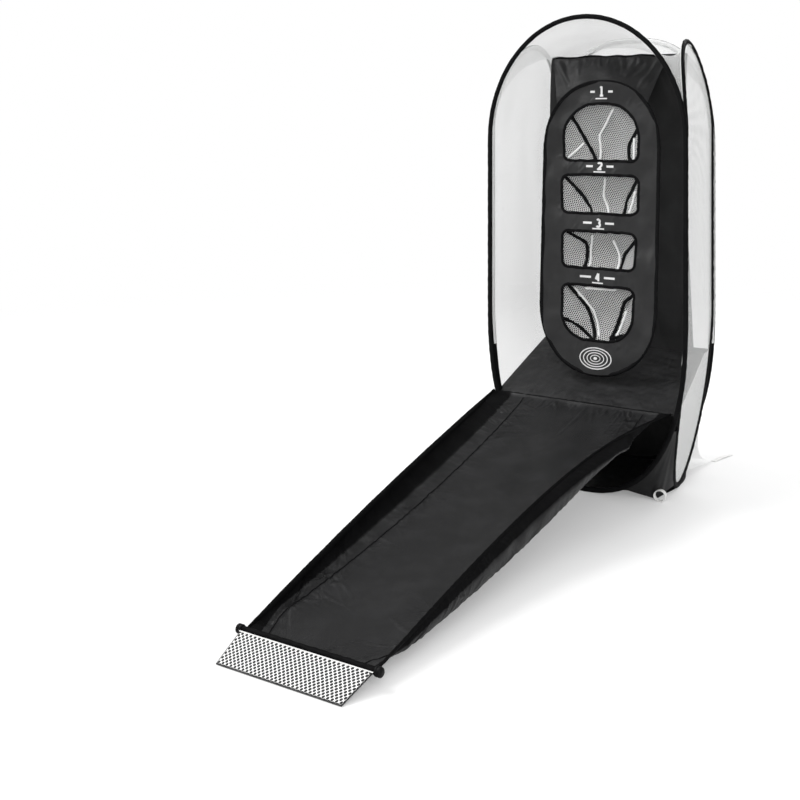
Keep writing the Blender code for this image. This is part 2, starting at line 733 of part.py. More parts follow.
def build_windows():
    """A hem on the face and a net pocket behind it, for each window."""
    face = -CLOTH_THICK / 2 - FIT
    for window in WINDOWS:
        name, wide, tall, _, top_corner, foot_corner = window
        centre = window_place(window)
        hole = window_outline(wide, tall, top_corner, foot_corner, centre)
        ring = window_outline(wide, tall, top_corner, foot_corner, centre, WINDOW_HEM)
        inner = [on_target(a, b, face) for a, b in hole]
        outer = [on_target(a, b, face) for a, b in ring]
        lift = np.array(on_target(0, 0, -WINDOW_RISE)) - np.array(on_target(0, 0, 0))
        ring_plate(name + "_window_hem", inner, outer, lift, binding_tape(), TARGET_PIVOT)
        slab(name + "_pocket_net", pocket_grid(wide, tall, centre), NET_THICK, white_net(), TARGET_PIVOT)


def pocket_grid(wide, tall, centre):
    """A net bag that hangs behind a window and is deepest near its foot."""
    rows = []
    start = CLOTH_THICK / 2 + NET_THICK
    half = wide / 2 + WINDOW_HEM * 0.8
    for v in np.linspace(0.0, 1.0, 8):
        row = []
        for u in np.linspace(-1.0, 1.0, 7):
            swell = (1 - abs(u) ** 2.5) * math.sin(math.pi * v) ** 0.7
            deep = start + POCKET_DEPTH * swell * (1.15 - 0.5 * v)
            row.append(on_target(half * u, centre + (v - 0.5) * (tall + WINDOW_HEM * 1.6), deep))
        rows.append(row)
    return rows[::-1]


def build_rim():
    """The sprung wire round the target, in its folded tape."""
    outline = target_outline()
    path = [on_target(a, b) for a, b in outline]
    tips = [on_target(a + p, b + q) for (a, b), (p, q) in zip(outline, outward_2d(outline))]
    out = np.array(tips) - np.array(path)
    bore = (RIM_WIRE_RADIUS + FIT) / math.cos(math.pi / 5)
    wire = wire_section(RIM_WIRE_RADIUS, 5)
    swept_loop("target_rim_wire", path, out, wire, spring_steel(), TARGET_PIVOT)
    tape = binding_section(RIM_RADIUS, bore, math.pi, 7, 5)
    swept_loop("target_rim_binding", path, out, tape, binding_tape(), TARGET_PIVOT)


def build_flap():
    """The cloth that hangs the target from the top of the back sheet."""
    tall = TARGET_CORNER - RIM_RADIUS
    level = TARGET_HEIGHT - TARGET_CORNER
    low = []
    high = []
    for s in np.linspace(-1.0, 1.0, 13):
        x = s * FLAP_FOOT_WIDTH / 2
        up = level + tall * (1 - abs(x / TARGET_HALF) ** 2.2) ** (1 / 2.2)
        slant = unit(np.array((x / TARGET_HALF ** 2, (up - level) / tall ** 2)))
        shift = slant * (RIM_RADIUS + 2 * SEAM)
        low.append(on_target(x + shift[0], up + shift[1]))
        high.append((s * FLAP_TOP_WIDTH / 2, PIVOT_Y, SHEET_TOP))
    low = np.array(low)
    high = np.array(high)
    rows = [high + (low - high) * t for t in (0.0, 0.35, 0.7, 1.0)]
    slab("target_flap", np.array(rows)[::-1], CLOTH_THICK, black_cloth(), TARGET_PIVOT)


# ---- chute ----------------------------------------------------------------------------------

FOLD = (0.0, 0.0, FOLD_HEIGHT + CLOTH_THICK / 2)
BAR_Y = -CHUTE_LENGTH
CHUTE_STOP = SLEEVE_RADIUS + SEAM


def chute_station(t):
    """Y, height of the edge cords, height of the floor and both half widths, t from fold to bar."""
    y = -FIT - (CHUTE_LENGTH - FIT - CHUTE_STOP) * t
    edge_top = FOLD_HEIGHT + EDGE_CORD_RADIUS
    edge = edge_top + (BAR_HEIGHT - edge_top) * t
    sag = EDGE_CORD_RADIUS + CHUTE_SAG * math.sin(math.pi * t) ** 0.8
    floor_half = (CHUTE_FLOOR_TOP + (CHUTE_FLOOR_END - CHUTE_FLOOR_TOP) * t) / 2
    edge_half = (CHUTE_EDGE_TOP + (CHUTE_EDGE_END - CHUTE_EDGE_TOP) * t) / 2
    return y, edge, edge - sag, floor_half, edge_half


def build_chute():
    floor = []
    right = []
    first = CHUTE_EDGE_START / CHUTE_LENGTH
    for t in [0.0, *np.linspace(first, 1.0, 15)]:
        y, edge, low, floor_half, edge_half = chute_station(t)
        floor.append([(floor_half * s, y, low) for s in (-1.0, -0.33, 0.33, 1.0)])
        if t < first:
            continue
        start = np.array((floor_half + CLOTH_THICK, y, low))
        end = np.array((edge_half - EDGE_CORD_RADIUS - CLOTH_THICK, y, edge - CLOTH_THICK))
        right.append([start + (end - start) * s for s in (0.0, 0.5, 1.0)])
    right = np.array(right)
    slab("chute_floor", np.array(floor)[::-1], CLOTH_THICK, black_cloth(), FOLD)
    slab("chute_right_wall", right[::-1], CLOTH_THICK, black_cloth(), FOLD)
    slab("chute_left_wall", mirrored(right)[::-1, ::-1], CLOTH_THICK, black_cloth(), FOLD)
    for side, name in ((1, "right"), (-1, "left")):
        ends = []
        for t in (first, 1.0):
            y, edge, _, _, edge_half = chute_station(t)
            ends.append((side * edge_half, y, edge))
        rod("chute_%s_edge_cord" % name, *ends, EDGE_CORD_RADIUS, binding_tape(), sides=8, pivot=FOLD)


def build_crossbar():
    half = SLEEVE_LENGTH / 2
    left = (-half, BAR_Y, BAR_HEIGHT)
    right = (half, BAR_Y, BAR_HEIGHT)
    rod("crossbar_sleeve", left, right, SLEEVE_RADIUS, binding_tape(), bore=ROD_RADIUS + FIT, pivot=FOLD)
    rod("crossbar_rod", left, right, ROD_RADIUS, spring_steel(), sides=10, pivot=FOLD)
    for side, name in ((1, "right"), (-1, "left")):
        near = side * (half + FIT)
        far = near + side * CAP_LENGTH
        ends = ((near, BAR_Y, BAR_HEIGHT), (far, BAR_Y, BAR_HEIGHT))
        rod("crossbar_%s_cap" % name, *ends, CAP_RADIUS, black_plastic(), pivot=FOLD)


# ---- apron ----------------------------------------------------------------------------------

APRON_PIVOT = (0.0, BAR_Y, BAR_HEIGHT)
APRON_START = SLEEVE_RADIUS + SEAM


def on_apron(across, down, lift):
    """A point of the apron: across and down run 0 to 1 from the bar to its foot on the ground."""
    foot_z = CLOTH_THICK
    fall = BAR_HEIGHT - foot_z
    run = APRON_LENGTH - APRON_START
    slant = unit(np.array((-run, -fall)))
    half = (APRON_TOP_WIDTH + (APRON_FOOT_WIDTH - APRON_TOP_WIDTH) * down) / 2
    y = BAR_Y - APRON_START - run * down + lift * slant[1]
    z = BAR_HEIGHT - fall * down - lift * slant[0]
    return ((2 * across - 1) * half, y, z)


def strand_marks(gaps, length):
    """Edges of the strands along a unit length, for a number of gaps."""
    share = STRAND / length
    pitch = (1 - share) / gaps
    marks = []
    for k in range(gaps + 1):
        marks += [k * pitch, k * pitch + share]
    return marks


def net_mesh(columns, rows, place, thick):
    """Points and faces of a flat net: solid strands with square gaps between them."""
    wide = len(columns)
    tall = len(rows)
    points = []
    for lift in (thick, 0.0):
        points += [place(a, b, lift) for b in rows for a in columns]
    count = wide * tall
    faces = []

    def solid(c, r):
        inside = 0 <= c < wide - 1 and 0 <= r < tall - 1
        return inside and (c % 2 == 0 or r % 2 == 0)

    for r in range(tall - 1):
        for c in range(wide - 1):
            if not solid(c, r):
                continue
            a = r * wide + c
            quad = (a, a + wide, a + wide + 1, a + 1)
            faces.append(quad)
            faces.append(tuple(count + i for i in reversed(quad)))
            edges = ((c, r - 1, 3), (c + 1, r, 2), (c, r + 1, 1), (c - 1, r, 0))
            for nc, nr, k in edges:
                if not solid(nc, nr):
                    first, second = quad[k], quad[(k + 1) % 4]
                    faces.append((second, first, count + first, count + second))
    return points, faces


def build_apron():
    """Coarse white net over black cloth, from the crossbar down to the ground."""
    columns = strand_marks(APRON_GAPS[0], APRON_TOP_WIDTH)
    rows = strand_marks(APRON_GAPS[1], APRON_LENGTH)
    base = CLOTH_THICK / 2 + FIT
    points, faces = net_mesh(columns, rows, lambda a, b, c: on_apron(a, b, base + c), NET_THICK)
    add_object("apron_net", points, faces, white_net(), APRON_PIVOT)
    grid = [[on_apron(a, b, 0.0) for a in (0.0, 0.5, 1.0)] for b in (0.0, 0.5, 1.0)]
    slab("apron_cloth", np.array(grid)[::-1], CLOTH_THICK, black_cloth(), APRON_PIVOT)
    share = HEM_WIDTH / APRON_LENGTH
    lift = base + NET_THICK + FIT + CLOTH_THICK / 2
    grid = [[on_apron(a, b, lift) for a in (0.0, 1.0)] for b in (0.0, share)]
    slab("apron_hem", np.array(grid)[::-1], CLOTH_THICK, white_webbing(), APRON_PIVOT)


def main():
    start_empty()
    build_hoops()
    build_nets()
    build_slope()
    build_lower_cage()
    build_loops()
    build_target_panel()
    build_windows()
    build_rim()
    build_flap()
    build_chute()
    build_crossbar()
    build_apron()


main()
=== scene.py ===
"""Dresses the golf chipping net: taped hoops, net walls, pocket target, slope, chute and apron."""
import math

import bmesh
import bpy
import numpy as np
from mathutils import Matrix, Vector


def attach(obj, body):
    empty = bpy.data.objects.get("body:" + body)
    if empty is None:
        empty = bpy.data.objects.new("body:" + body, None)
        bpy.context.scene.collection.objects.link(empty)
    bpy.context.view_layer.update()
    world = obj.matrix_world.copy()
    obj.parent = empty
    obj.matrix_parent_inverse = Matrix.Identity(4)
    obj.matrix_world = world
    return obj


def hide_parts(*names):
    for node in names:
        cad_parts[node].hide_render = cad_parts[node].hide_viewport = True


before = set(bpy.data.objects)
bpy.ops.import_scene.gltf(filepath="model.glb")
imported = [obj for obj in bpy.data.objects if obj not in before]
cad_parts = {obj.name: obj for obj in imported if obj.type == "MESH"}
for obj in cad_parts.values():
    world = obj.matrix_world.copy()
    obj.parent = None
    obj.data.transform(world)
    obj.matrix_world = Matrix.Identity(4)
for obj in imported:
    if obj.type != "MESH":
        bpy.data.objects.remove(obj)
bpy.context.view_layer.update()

TAU = math.tau
UP = (0.0, 0.0, 1.0)

# ---- sizes that the solids have too, with depth counted from the front hoop's plane -----------
FRONT_WIDTH, BACK_WIDTH, DEPTH = 0.750, 0.640, 0.464
FRONT_HEIGHT, BACK_HEIGHT, SIDE_HEIGHT = 1.657, 1.600, 1.572
FRONT_CROWN, FRONT_POWER, BACK_POWER = 0.430, 2.0, 2.6
FRONT_FOOT, FOOT_POWER = 0.600, 2.4
SIDE_CROWN, SIDE_FOOT = 0.300, 0.390
TOP_BOW, FOOT_BOW, BOW_POWER = 0.045, 0.080, 1.5
TAPE = 0.0075                # half width of the tape round a hoop
FIT, SEAM = 0.0003, 0.0006    # clearance between touching pieces and along a sewn edge
NET_THICK, CLOTH_THICK = 0.0012, 0.0015
SKIRT_INSET = 0.0026
FOLD_HEIGHT, FOLD_INSET, SLOPE_BACK = 0.304, 0.010, 0.452
SHEET_PLANE, SHEET_TOP_PLANE = 0.345, 0.232
SHEET_WIDTH, SHEET_TOP_WIDTH, SHEET_TOP = 0.552, 0.524, 1.506
PIVOT_Y = SHEET_TOP_PLANE - 0.0021
TOP_FRILL = 0.018             # the gathered cloth above the line that the target hangs from
TARGET_WIDTH, TARGET_HEIGHT, TARGET_FOOT = 0.452, 1.058, 0.378
TARGET_PLANE, TARGET_LEAN, TARGET_CORNER = 0.105, math.radians(3.2), 0.260
RIM = 0.0045
FLAP_TOP, FLAP_FOOT = 0.420, 0.300
HEM, POCKET_DEPTH = 0.010, 0.060
WINDOWS = (
    ("top", 0.281, 0.198, 0.090, 0.120, 0.020),
    ("upper", 0.286, 0.131, 0.346, 0.026, 0.022),
    ("lower", 0.272, 0.124, 0.549, 0.022, 0.022),
    ("bottom", 0.264, 0.187, 0.742, 0.024, 0.095),
)
CHUTE_LENGTH, CHUTE_FLOOR_TOP, CHUTE_FLOOR_END = 1.563, 0.450, 0.370
CHUTE_EDGE_TOP, CHUTE_EDGE_END, CHUTE_SAG = 0.636, 0.390, 0.055
EDGE_CORD, BAR_HEIGHT = 0.004, 0.038
SLEEVE_RADIUS, SLEEVE_LENGTH, CAP_RADIUS, CAP_LENGTH = 0.0095, 0.400, 0.012, 0.016
APRON_LENGTH, APRON_TOP, APRON_FOOT = 0.114, 0.396, 0.367
FRONT_PEG, REAR_PEG = (0.252, 0.046), (0.266, 0.600)
GUSSET_TOP, GUSSET_FOOT = 0.250, 0.030
LOOP_WIDTH, LOOP_THICK, RING_RADIUS, RING_SHIFT = 0.018, 0.0018, 0.019, 0.014
STRAP_LENGTH, STRAP_LAP, STRAP_ANGLE = 0.130, 0.010, math.radians(77)

FRONT_HALF = FRONT_WIDTH / 2 - TAPE
BACK_HALF = BACK_WIDTH / 2 - TAPE
BACK_PLANE = DEPTH - 2 * TAPE
SIDE_FRONT = 2 * TAPE + FIT
SIDE_REAR = BACK_PLANE - 2 * TAPE - FIT
SIDE_MIDDLE = (SIDE_FRONT + SIDE_REAR) / 2
SIDE_HALF = (SIDE_REAR - SIDE_FRONT) / 2
CROWN_LEVEL = SIDE_HEIGHT - TAPE - SIDE_CROWN
HOME = np.array((0.0, BACK_PLANE / 2, 0.0))    # the frame's origin, counted in the same way

# ---- sizes of the finish ----------------------------------------------------------------------
TAPE_STEP = 0.006             # between the points along a tape
STITCH_LENGTH, STITCH_GAP, STITCH_RADIUS = 0.0034, 0.0026, 0.00042
LINING_START, LINING_REACH = SLOPE_BACK + 0.019, 0.0090
PRINT_THICK, PRINT_STROKE, PRINT_BAR = 0.0008, 0.0078, 0.0046
PANEL_STEP = 0.0048           # between the points of the target's face
APRON_CELL, APRON_STRAND, APRON_LIFT = (0.0128, 0.0072), 0.00082, 0.0019


# ---- shader arithmetic ------------------------------------------------------------------------

class Value:
    """A number inside a material, with arithmetic that adds the nodes."""

    def __init__(self, tree, socket):
        self.tree = tree
        self.socket = socket

    def do(self, kind, *others):
        node = self.tree.nodes.new("ShaderNodeMath")
        node.operation = kind
        for place, item in enumerate((self, *others)):
            if isinstance(item, Value):
                self.tree.links.new(item.socket, node.inputs[place])
            else:
                node.inputs[place].default_value = item
        return Value(self.tree, node.outputs[0])

    def __add__(self, other):
        return self.do("ADD", other)

    def __sub__(self, other):
        return self.do("SUBTRACT", other)

    def __mul__(self, other):
        return self.do("MULTIPLY", other)

    def __truediv__(self, other):
        return self.do("DIVIDE", other)

    def steps(self):
        return self.do("FLOOR")

    def part(self):
        return self.do("FRACT")

    def wave(self):
        return (self * TAU).do("SINE")

    def between(self, low, high):
        """0 at low, 1 at high, with a soft start and end."""
        node = self.tree.nodes.new("ShaderNodeMapRange")
        node.interpolation_type = "SMOOTHSTEP"
        self.tree.links.new(self.socket, node.inputs["Value"])
        node.inputs["From Min"].default_value = low
        node.inputs["From Max"].default_value = high
        return Value(self.tree, node.outputs[0])


class Surface:
    """A Principled material with helpers for procedural detail."""

    def __init__(self, name, colour, roughness, metallic=0.0, sheen=0.0, gloss=0.5):
        self.material = bpy.data.materials.new(name)
        self.material.use_nodes = True
        self.tree = self.material.node_tree
        self.shader = self.tree.nodes["Principled BSDF"]
        self.shader.inputs["Base Color"].default_value = (*colour, 1.0)
        self.shader.inputs["Roughness"].default_value = roughness
        self.shader.inputs["Metallic"].default_value = metallic
        self.shader.inputs["Sheen Weight"].default_value = sheen
        self.shader.inputs["Sheen Roughness"].default_value = 0.4
        self.shader.inputs["Specular IOR Level"].default_value = gloss

    def cut(self):
        """Place on the flat cloth in metres, as two values."""
        node = self.tree.nodes.new("ShaderNodeUVMap")
        node.uv_map = "cut"
        split = self.tree.nodes.new("ShaderNodeSeparateXYZ")
        self.tree.links.new(node.outputs[0], split.inputs[0])
        return Value(self.tree, split.outputs[0]), Value(self.tree, split.outputs[1])

    def noise(self, scale, detail=3.0):
        place = self.tree.nodes.new("ShaderNodeTexCoord")
        node = self.tree.nodes.new("ShaderNodeTexNoise")
        node.inputs["Scale"].default_value = scale
        node.inputs["Detail"].default_value = detail
        self.tree.links.new(place.outputs["Object"], node.inputs["Vector"])
        return Value(self.tree, node.outputs["Fac"])

    def colour(self, amount, low, high):
        """Blend two colours by a value, into the base colour."""
        node = self.tree.nodes.new("ShaderNodeMix")
        node.data_type = "RGBA"
        self.tree.links.new(amount.socket, node.inputs["Factor"])
        node.inputs[6].default_value = (*low, 1.0)
        node.inputs[7].default_value = (*high, 1.0)
        self.tree.links.new(node.outputs[2], self.shader.inputs["Base Color"])

    def roughness(self, value):
        self.tree.links.new(value.socket, self.shader.inputs["Roughness"])

    def alpha(self, value):
        self.tree.links.new(value.socket, self.shader.inputs["Alpha"])

    def bump(self, height, depth, strength=1.0):
        node = self.tree.nodes.new("ShaderNodeBump")
        node.inputs["Distance"].default_value = depth
        node.inputs["Strength"].default_value = strength
        self.tree.links.new(height.socket, node.inputs["Height"])
        self.tree.links.new(node.outputs[0], self.shader.inputs["Normal"])


def net_surface(name, pitch, hole, colour, turn=0.0):
    """Knitted net: round gaps in staggered rows, with a gap's radius as a share of the pitch."""
    made = Surface(name, colour, 0.75, sheen=0.15, gloss=0.3)
    u, v = made.cut()
    u, v = u * math.cos(turn) + v * math.sin(turn), v * math.cos(turn) - u * math.sin(turn)
    row_height = 0.866
    row = v / (pitch * row_height)
    shift = (row.steps() * 0.5).part()
    x = (u / pitch + shift).part() - 0.5
    y = (row.part() - 0.5) * row_height
    far = (x * x + y * y).do("SQRT")
    made.alpha(far.between(hole - 0.05, hole + 0.05))
    made.colour(made.noise(9.0), [c * 0.93 for c in colour], colour)
    made.bump(far, pitch * 0.3, 0.6)
    return made.material


def cloth_surface(name, colour, roughness, worn, gloss=0.32):
    """Coated woven cloth: a fine plain weave, dull crossings and paler rubbed places."""
    made = Surface(name, colour, roughness, gloss=gloss)
    u, v = made.cut()
    thread = 0.0011
    weave = (u / thread).wave() * (v / thread).wave()
    rub = made.noise(14.0, 4.0).between(0.42, 0.72)
    made.colour(rub, colour, [c * worn for c in colour])
    made.roughness(made.noise(30.0, 3.0) * 0.16 + (roughness - 0.08))
    made.bump(weave * 0.4 + made.noise(120.0, 2.0), 0.0003, 0.35)
    return made.material


def tape_surface(name, colour, high, rib=0.0016, roughness=0.62, gloss=0.5):
    """Woven tape with ribs across it."""
    made = Surface(name, colour, roughness, gloss=gloss)
    u, v = made.cut()
    ribs = (u / rib).wave() * 0.5 + (v / (rib * 0.6)).wave() * 0.25
    made.colour(made.noise(40.0, 3.0).between(0.35, 0.75), colour, high)
    made.roughness(made.noise(60.0) * 0.2 + (roughness - 0.1))
    made.bump(ribs + made.noise(300.0) * 0.5, 0.0003, 0.7)
    return made.material


def plain_surface(name, colour, high, roughness, metallic=0.0, grain=200.0, depth=0.00008, gloss=0.5):
    """A plain finish with a fine grain, between two colours."""
    made = Surface(name, colour, roughness, metallic, gloss=gloss)
    made.colour(made.noise(25.0).between(0.3, 0.8), colour, high)
    made.roughness(made.noise(70.0, 4.0) * 0.2 + (roughness - 0.1))
    made.bump(made.noise(grain, 2.0), depth, 0.5)
    return made.material


NET_WHITE = (0.96, 0.965, 0.96)
CLOTH = cloth_surface("coated_cloth", (0.0098, 0.0098, 0.0103), 0.40, 1.5)
# near-black cloth for the sleeve and the edge hems; on the upper band of the chute walls it is partly a dark
# hem band, partly painted shade
NEAR_BLACK_CLOTH_AND_PAINTED_SHADE = cloth_surface("sleeve_cloth", (0.0030, 0.0030, 0.0033), 0.60, 1.3, 0.06)
# the same coated black cloth painted about twice as light: painted light standing in for the light that the
# cage's shade takes from the slope and back sheet
SLOPE_CLOTH_PAINTED_LIGHT = cloth_surface("slope_cloth_painted_light", (0.0200, 0.0200, 0.0205), 0.38, 1.3, 0.42)
TARGET_CLOTH = cloth_surface("target_cloth", (0.0230, 0.0230, 0.0235), 0.42, 1.3, 0.40)
BINDING = tape_surface("folded_tape", (0.0035, 0.0035, 0.004), (0.006, 0.006, 0.0065), gloss=0.10)
THREAD = plain_surface("black_thread", (0.016, 0.016, 0.017), (0.03, 0.03, 0.03), 0.6)
WEBBING = tape_surface("woven_webbing", (0.82, 0.82, 0.81), (0.90, 0.90, 0.89), 0.0022, 0.75, 0.2)
WALL_NET = net_surface("wall_net", 0.0040, 0.38, (0.95, 0.955, 0.95))
POCKET_NET = net_surface("pocket_mesh", 0.0078, 0.41, NET_WHITE, math.radians(52))
PLEAT_NET = net_surface("pocket_mesh_doubled", 0.0040, 0.20, NET_WHITE)
LINING_NET = net_surface("doubled_net", 0.0030, 0.24, NET_WHITE)
APRON_NET = plain_surface("apron_strands", (0.92, 0.92, 0.91), (0.96, 0.96, 0.95), 0.7, 0.0, 500.0, 0.0002)
PRINT = plain_surface("white_print", (0.74, 0.74, 0.74), (0.80, 0.80, 0.80), 0.55)
STEEL = plain_surface("spring_wire", (0.30, 0.30, 0.31), (0.42, 0.42, 0.43), 0.32, 1.0)
PLASTIC = plain_surface("moulded_plastic", (0.003, 0.003, 0.0033), (0.005, 0.005, 0.0055), 0.48, gloss=0.16)


# ---- numbers and grids ------------------------------------------------------------------------

def unit(v):
    return v / np.linalg.norm(v, axis=-1, keepdims=True)


def mirrored(points):
    return np.array(points, float) * (-1.0, 1.0, 1.0)


def waves(u, v, seed, length, count=9):
    """Seeded unevenness about one high, from plane waves about one length long."""
    rng = np.random.RandomState(seed)
    total = np.zeros(np.shape(u))
    for _ in range(count):
        turn = rng.uniform(0, TAU)
        k = TAU / (length * rng.uniform(0.7, 1.6))
        total += np.sin(k * (u * math.cos(turn) + v * math.sin(turn)) + rng.uniform(0, TAU))
    return total / math.sqrt(count)


def creases(u, v, lines):
    """Folds along short lines: a ridge with a shallow valley on each side, tapering to its ends."""
    total = np.zeros(np.shape(u))
    for x0, y0, x1, y1, height, width in lines:
        along = np.array((x1 - x0, y1 - y0))
        size = np.linalg.norm(along)
        along = along / size
        s = ((u - x0) * along[0] + (v - y0) * along[1]) / size
        d = np.abs((v - y0) * along[0] - (u - x0) * along[1])
        d = d + 0.25 * width * np.sin(9 * s + 50 * x0)
        taper = np.clip(4 * s * (1 - s), 0, None) ** 0.5 * (s > 0) * (s < 1)
        spread = width * (0.55 + 0.45 * taper)
        total += height * taper * (np.exp(-(d / spread) ** 2) - 0.45 * np.exp(-(d / spread / 2) ** 2))
    return total


def seam_creases(start, end, count, seed, reach, height, lean, side):
    """Lines of the small folds that a tight seam draws into the cloth on one side of it."""
    rng = np.random.RandomState(seed)
    start, end = np.array(start), np.array(end)
    along = unit(end - start)
    across = np.array((-along[1], along[0])) * side
    made = []
    for _ in range(count):
        root = start + (end - start) * rng.uniform(0, 1)
        slant = rng.uniform(-lean, lean)
        size = rng.uniform(*reach)
        tip = root + size * unit(across + along * slant)
        back = root - size * 0.25 * unit(across + along * slant)
        made.append((*back, *tip, height * rng.uniform(0.4, 1.0), rng.uniform(0.003, 0.007)))
    return made


def all_creases(*seams):
    """The folds of several seams, in a row of seam_creases' values for each."""
    return [line for seam in seams for line in seam_creases(*seam)]


def refine(grid, down, across):
    """A finer grid through the same points, on smooth curves."""
    def one_way(points, times):
        count = len(points)
        ext = np.concatenate((2 * points[:1] - points[1:2], points, 2 * points[-1:] - points[-2:-1]))
        made = []
        for i in range(count - 1):
            a, b, c, d = ext[i], ext[i + 1], ext[i + 2], ext[i + 3]
            for t in np.arange(times) / times:
                first = 2 * b + (c - a) * t + (2 * a - 5 * b + 4 * c - d) * t * t
                made.append((first + (3 * b - a - 3 * c + d) * t ** 3) / 2)
        made.append(points[-1])
        return np.array(made)

    grid = np.array(grid, float)
    grid = one_way(grid, down)
    return one_way(grid.transpose(1, 0, 2), across).transpose(1, 0, 2)


def normals(grid):
    return unit(np.cross(np.gradient(grid, axis=1), np.gradient(grid, axis=0)))


def lengths(grid):
    """Place of each grid point on the flat cloth, in metres from its first corner."""
    across = np.linalg.norm(np.diff(grid, axis=1), axis=2)
    down = np.linalg.norm(np.diff(grid, axis=0), axis=2)
    u = np.concatenate((np.zeros((len(grid), 1)), np.cumsum(across, axis=1)), axis=1)
    u = u - u[:, -1:] / 2
    v = np.concatenate(([0.0], np.cumsum(down.mean(axis=1))))
    return u, np.repeat(v[:, None], grid.shape[1], axis=1)


def edge_fade(shape, reach):
    """0 on a grid's edge, 1 from reach steps inside it."""
    rows = np.minimum(np.arange(shape[0]), np.arange(shape[0])[::-1])[:, None]
    cols = np.minimum(np.arange(shape[1]), np.arange(shape[1])[::-1])[None, :]
    return np.clip(np.minimum(rows, cols) / reach, 0, 1)


# ---- pieces -----------------------------------------------------------------------------------

def place_piece(name, mesh, surface, body, stands_for=()):
    """Link a mesh as a piece that rides on a body and stands for its solids."""
    mesh.materials.append(surface)
    piece = bpy.data.objects.new(name, mesh)
    bpy.context.scene.collection.objects.link(piece)
    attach(piece, body)
    if stands_for:
        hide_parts(*stands_for)
    return piece


def finished_mesh(name, bm):
    mesh = bpy.data.meshes.new(name)
    bm.to_mesh(mesh)
    bm.free()
    return mesh


def add_piece(name, points, faces, surface, body, stands_for=(), cut=None):
    """A smooth mesh from points in the solids' own measures, with its place on the flat cloth."""
    bm = bmesh.new()
    verts = [bm.verts.new(p) for p in np.array(points, float) - HOME]
    layer = bm.loops.layers.uv.new("cut")
    for face in faces:
        made = bm.faces.new([verts[i] for i in face])
        made.smooth = True
        if cut is not None:
            for loop, i in zip(made.loops, face):
                loop[layer].uv = cut[i]
    bm.normal_update()
    mesh = finished_mesh(name, bm)
    mesh.set_sharp_from_angle(angle=math.radians(50))
    return place_piece(name, mesh, surface, body, stands_for)


def sheet_area(grid):
    """Area of a sheet, as the sum of its triangles."""
    a, b, c, d = grid[:-1, :-1], grid[:-1, 1:], grid[1:, 1:], grid[1:, :-1]
    halves = np.linalg.norm(np.cross(b - a, c - a), axis=2)
    halves = halves + np.linalg.norm(np.cross(c - a, d - a), axis=2)
    return float(halves.sum() / 2)


def add_sheet(name, grid, surface, body="cage", stands_for=(), thick=0.0, uv=None):
    """A sheet on a grid: net with one face, or black cloth with two faces and an edge."""
    grid = np.array(grid, float)
    rows, cols = grid.shape[:2]
    u, v = lengths(grid) if uv is None else uv
    cut = np.stack((u, v), axis=2).reshape(-1, 2)
    count = rows * cols
    quads = []
    for r in range(rows - 1):
        first = r * cols
        for c in range(first, first + cols - 1):
            quads.append((c, c + 1, cols + c + 1, cols + c))
    if not thick:
        piece = add_piece(name, grid.reshape(-1, 3), quads, surface, body, stands_for, cut)
    else:
        normal = normals(grid)
        top = (grid + normal * thick / 2).reshape(-1, 3)
        low = (grid - normal * thick / 2).reshape(-1, 3)
        rim = list(range(cols)) + [r * cols + cols - 1 for r in range(1, rows)]
        rim += [(rows - 1) * cols + c for c in range(cols - 2, -1, -1)]
        rim += [r * cols for r in range(rows - 2, 0, -1)]
        faces = quads + [tuple(count + i for i in reversed(q)) for q in quads]
        faces += [(b, a, count + a, count + b) for a, b in zip(rim, rim[1:] + rim[:1])]
        points = np.vstack((top, low))
        piece = add_piece(name, points, faces, surface, body, stands_for, np.vstack((cut, cut)))
    wide, tall = np.ptp(u), np.ptp(v)
    area = sheet_area(grid)
    # a tapering sheet is declared by its mean width where the widest row says too little or too much
    wide = min(max(wide, area / tall), 2.5 * area / tall)
    return piece


def frames(path, outward, closed):
    """Two directions across a path at each point: out and side."""
    if closed:
        tangent = unit(np.roll(path, -1, axis=0) - np.roll(path, 1, axis=0))
    else:
        tangent = unit(np.gradient(path, axis=0))
    out = unit(outward - tangent * (outward * tangent).sum(axis=1, keepdims=True))
    return out, np.cross(tangent, out)


def add_sweep(name, path, outward, section, surface, body, stands_for=(), closed=False):
    """A tape or cord along a path. The section may change from point to point."""
    path = np.array(path, float)
    out, side = frames(path, np.array(outward, float), closed)
    section = np.array(section, float)
    if section.ndim == 2:
        section = np.repeat(section[None], len(path), axis=0)
    steps, sides = section.shape[:2]
    points = path[:, None] + out[:, None] * section[..., :1] + side[:, None] * section[..., 1:]
    span = np.linalg.norm(np.diff(path, axis=0), axis=1)
    along = np.concatenate(([0.0], np.cumsum(span)))
    around = np.concatenate(([0.0], np.cumsum(np.linalg.norm(np.diff(section[0], axis=0), axis=1))))
    cut = np.stack(np.broadcast_arrays(along[:, None], around[None, :]), axis=2).reshape(-1, 2)
    faces = []
    for i in range(steps if closed else steps - 1):
        j = (i + 1) % steps
        for k in range(sides):
            m = (k + 1) % sides
            faces.append((i * sides + k, i * sides + m, j * sides + m, j * sides + k))
    if not closed:
        faces.append(tuple(range(sides - 1, -1, -1)))
        faces.append(tuple((steps - 1) * sides + k for k in range(sides)))
    return add_piece(name, points.reshape(-1, 3), faces, surface, body, stands_for, cut)


def resample(path, spacing, closed=False):
    """The same line with points at an even spacing."""
    path = np.array(path, float)
    line = np.vstack((path, path[:1])) if closed else path
    along = np.concatenate(([0.0], np.cumsum(np.linalg.norm(np.diff(line, axis=0), axis=1))))
    count = max(8, int(round(along[-1] / spacing)))
    marks = np.linspace(0, along[-1], count, endpoint=not closed)
    return np.stack([np.interp(marks, along, line[:, k]) for k in range(line.shape[1])], axis=1)


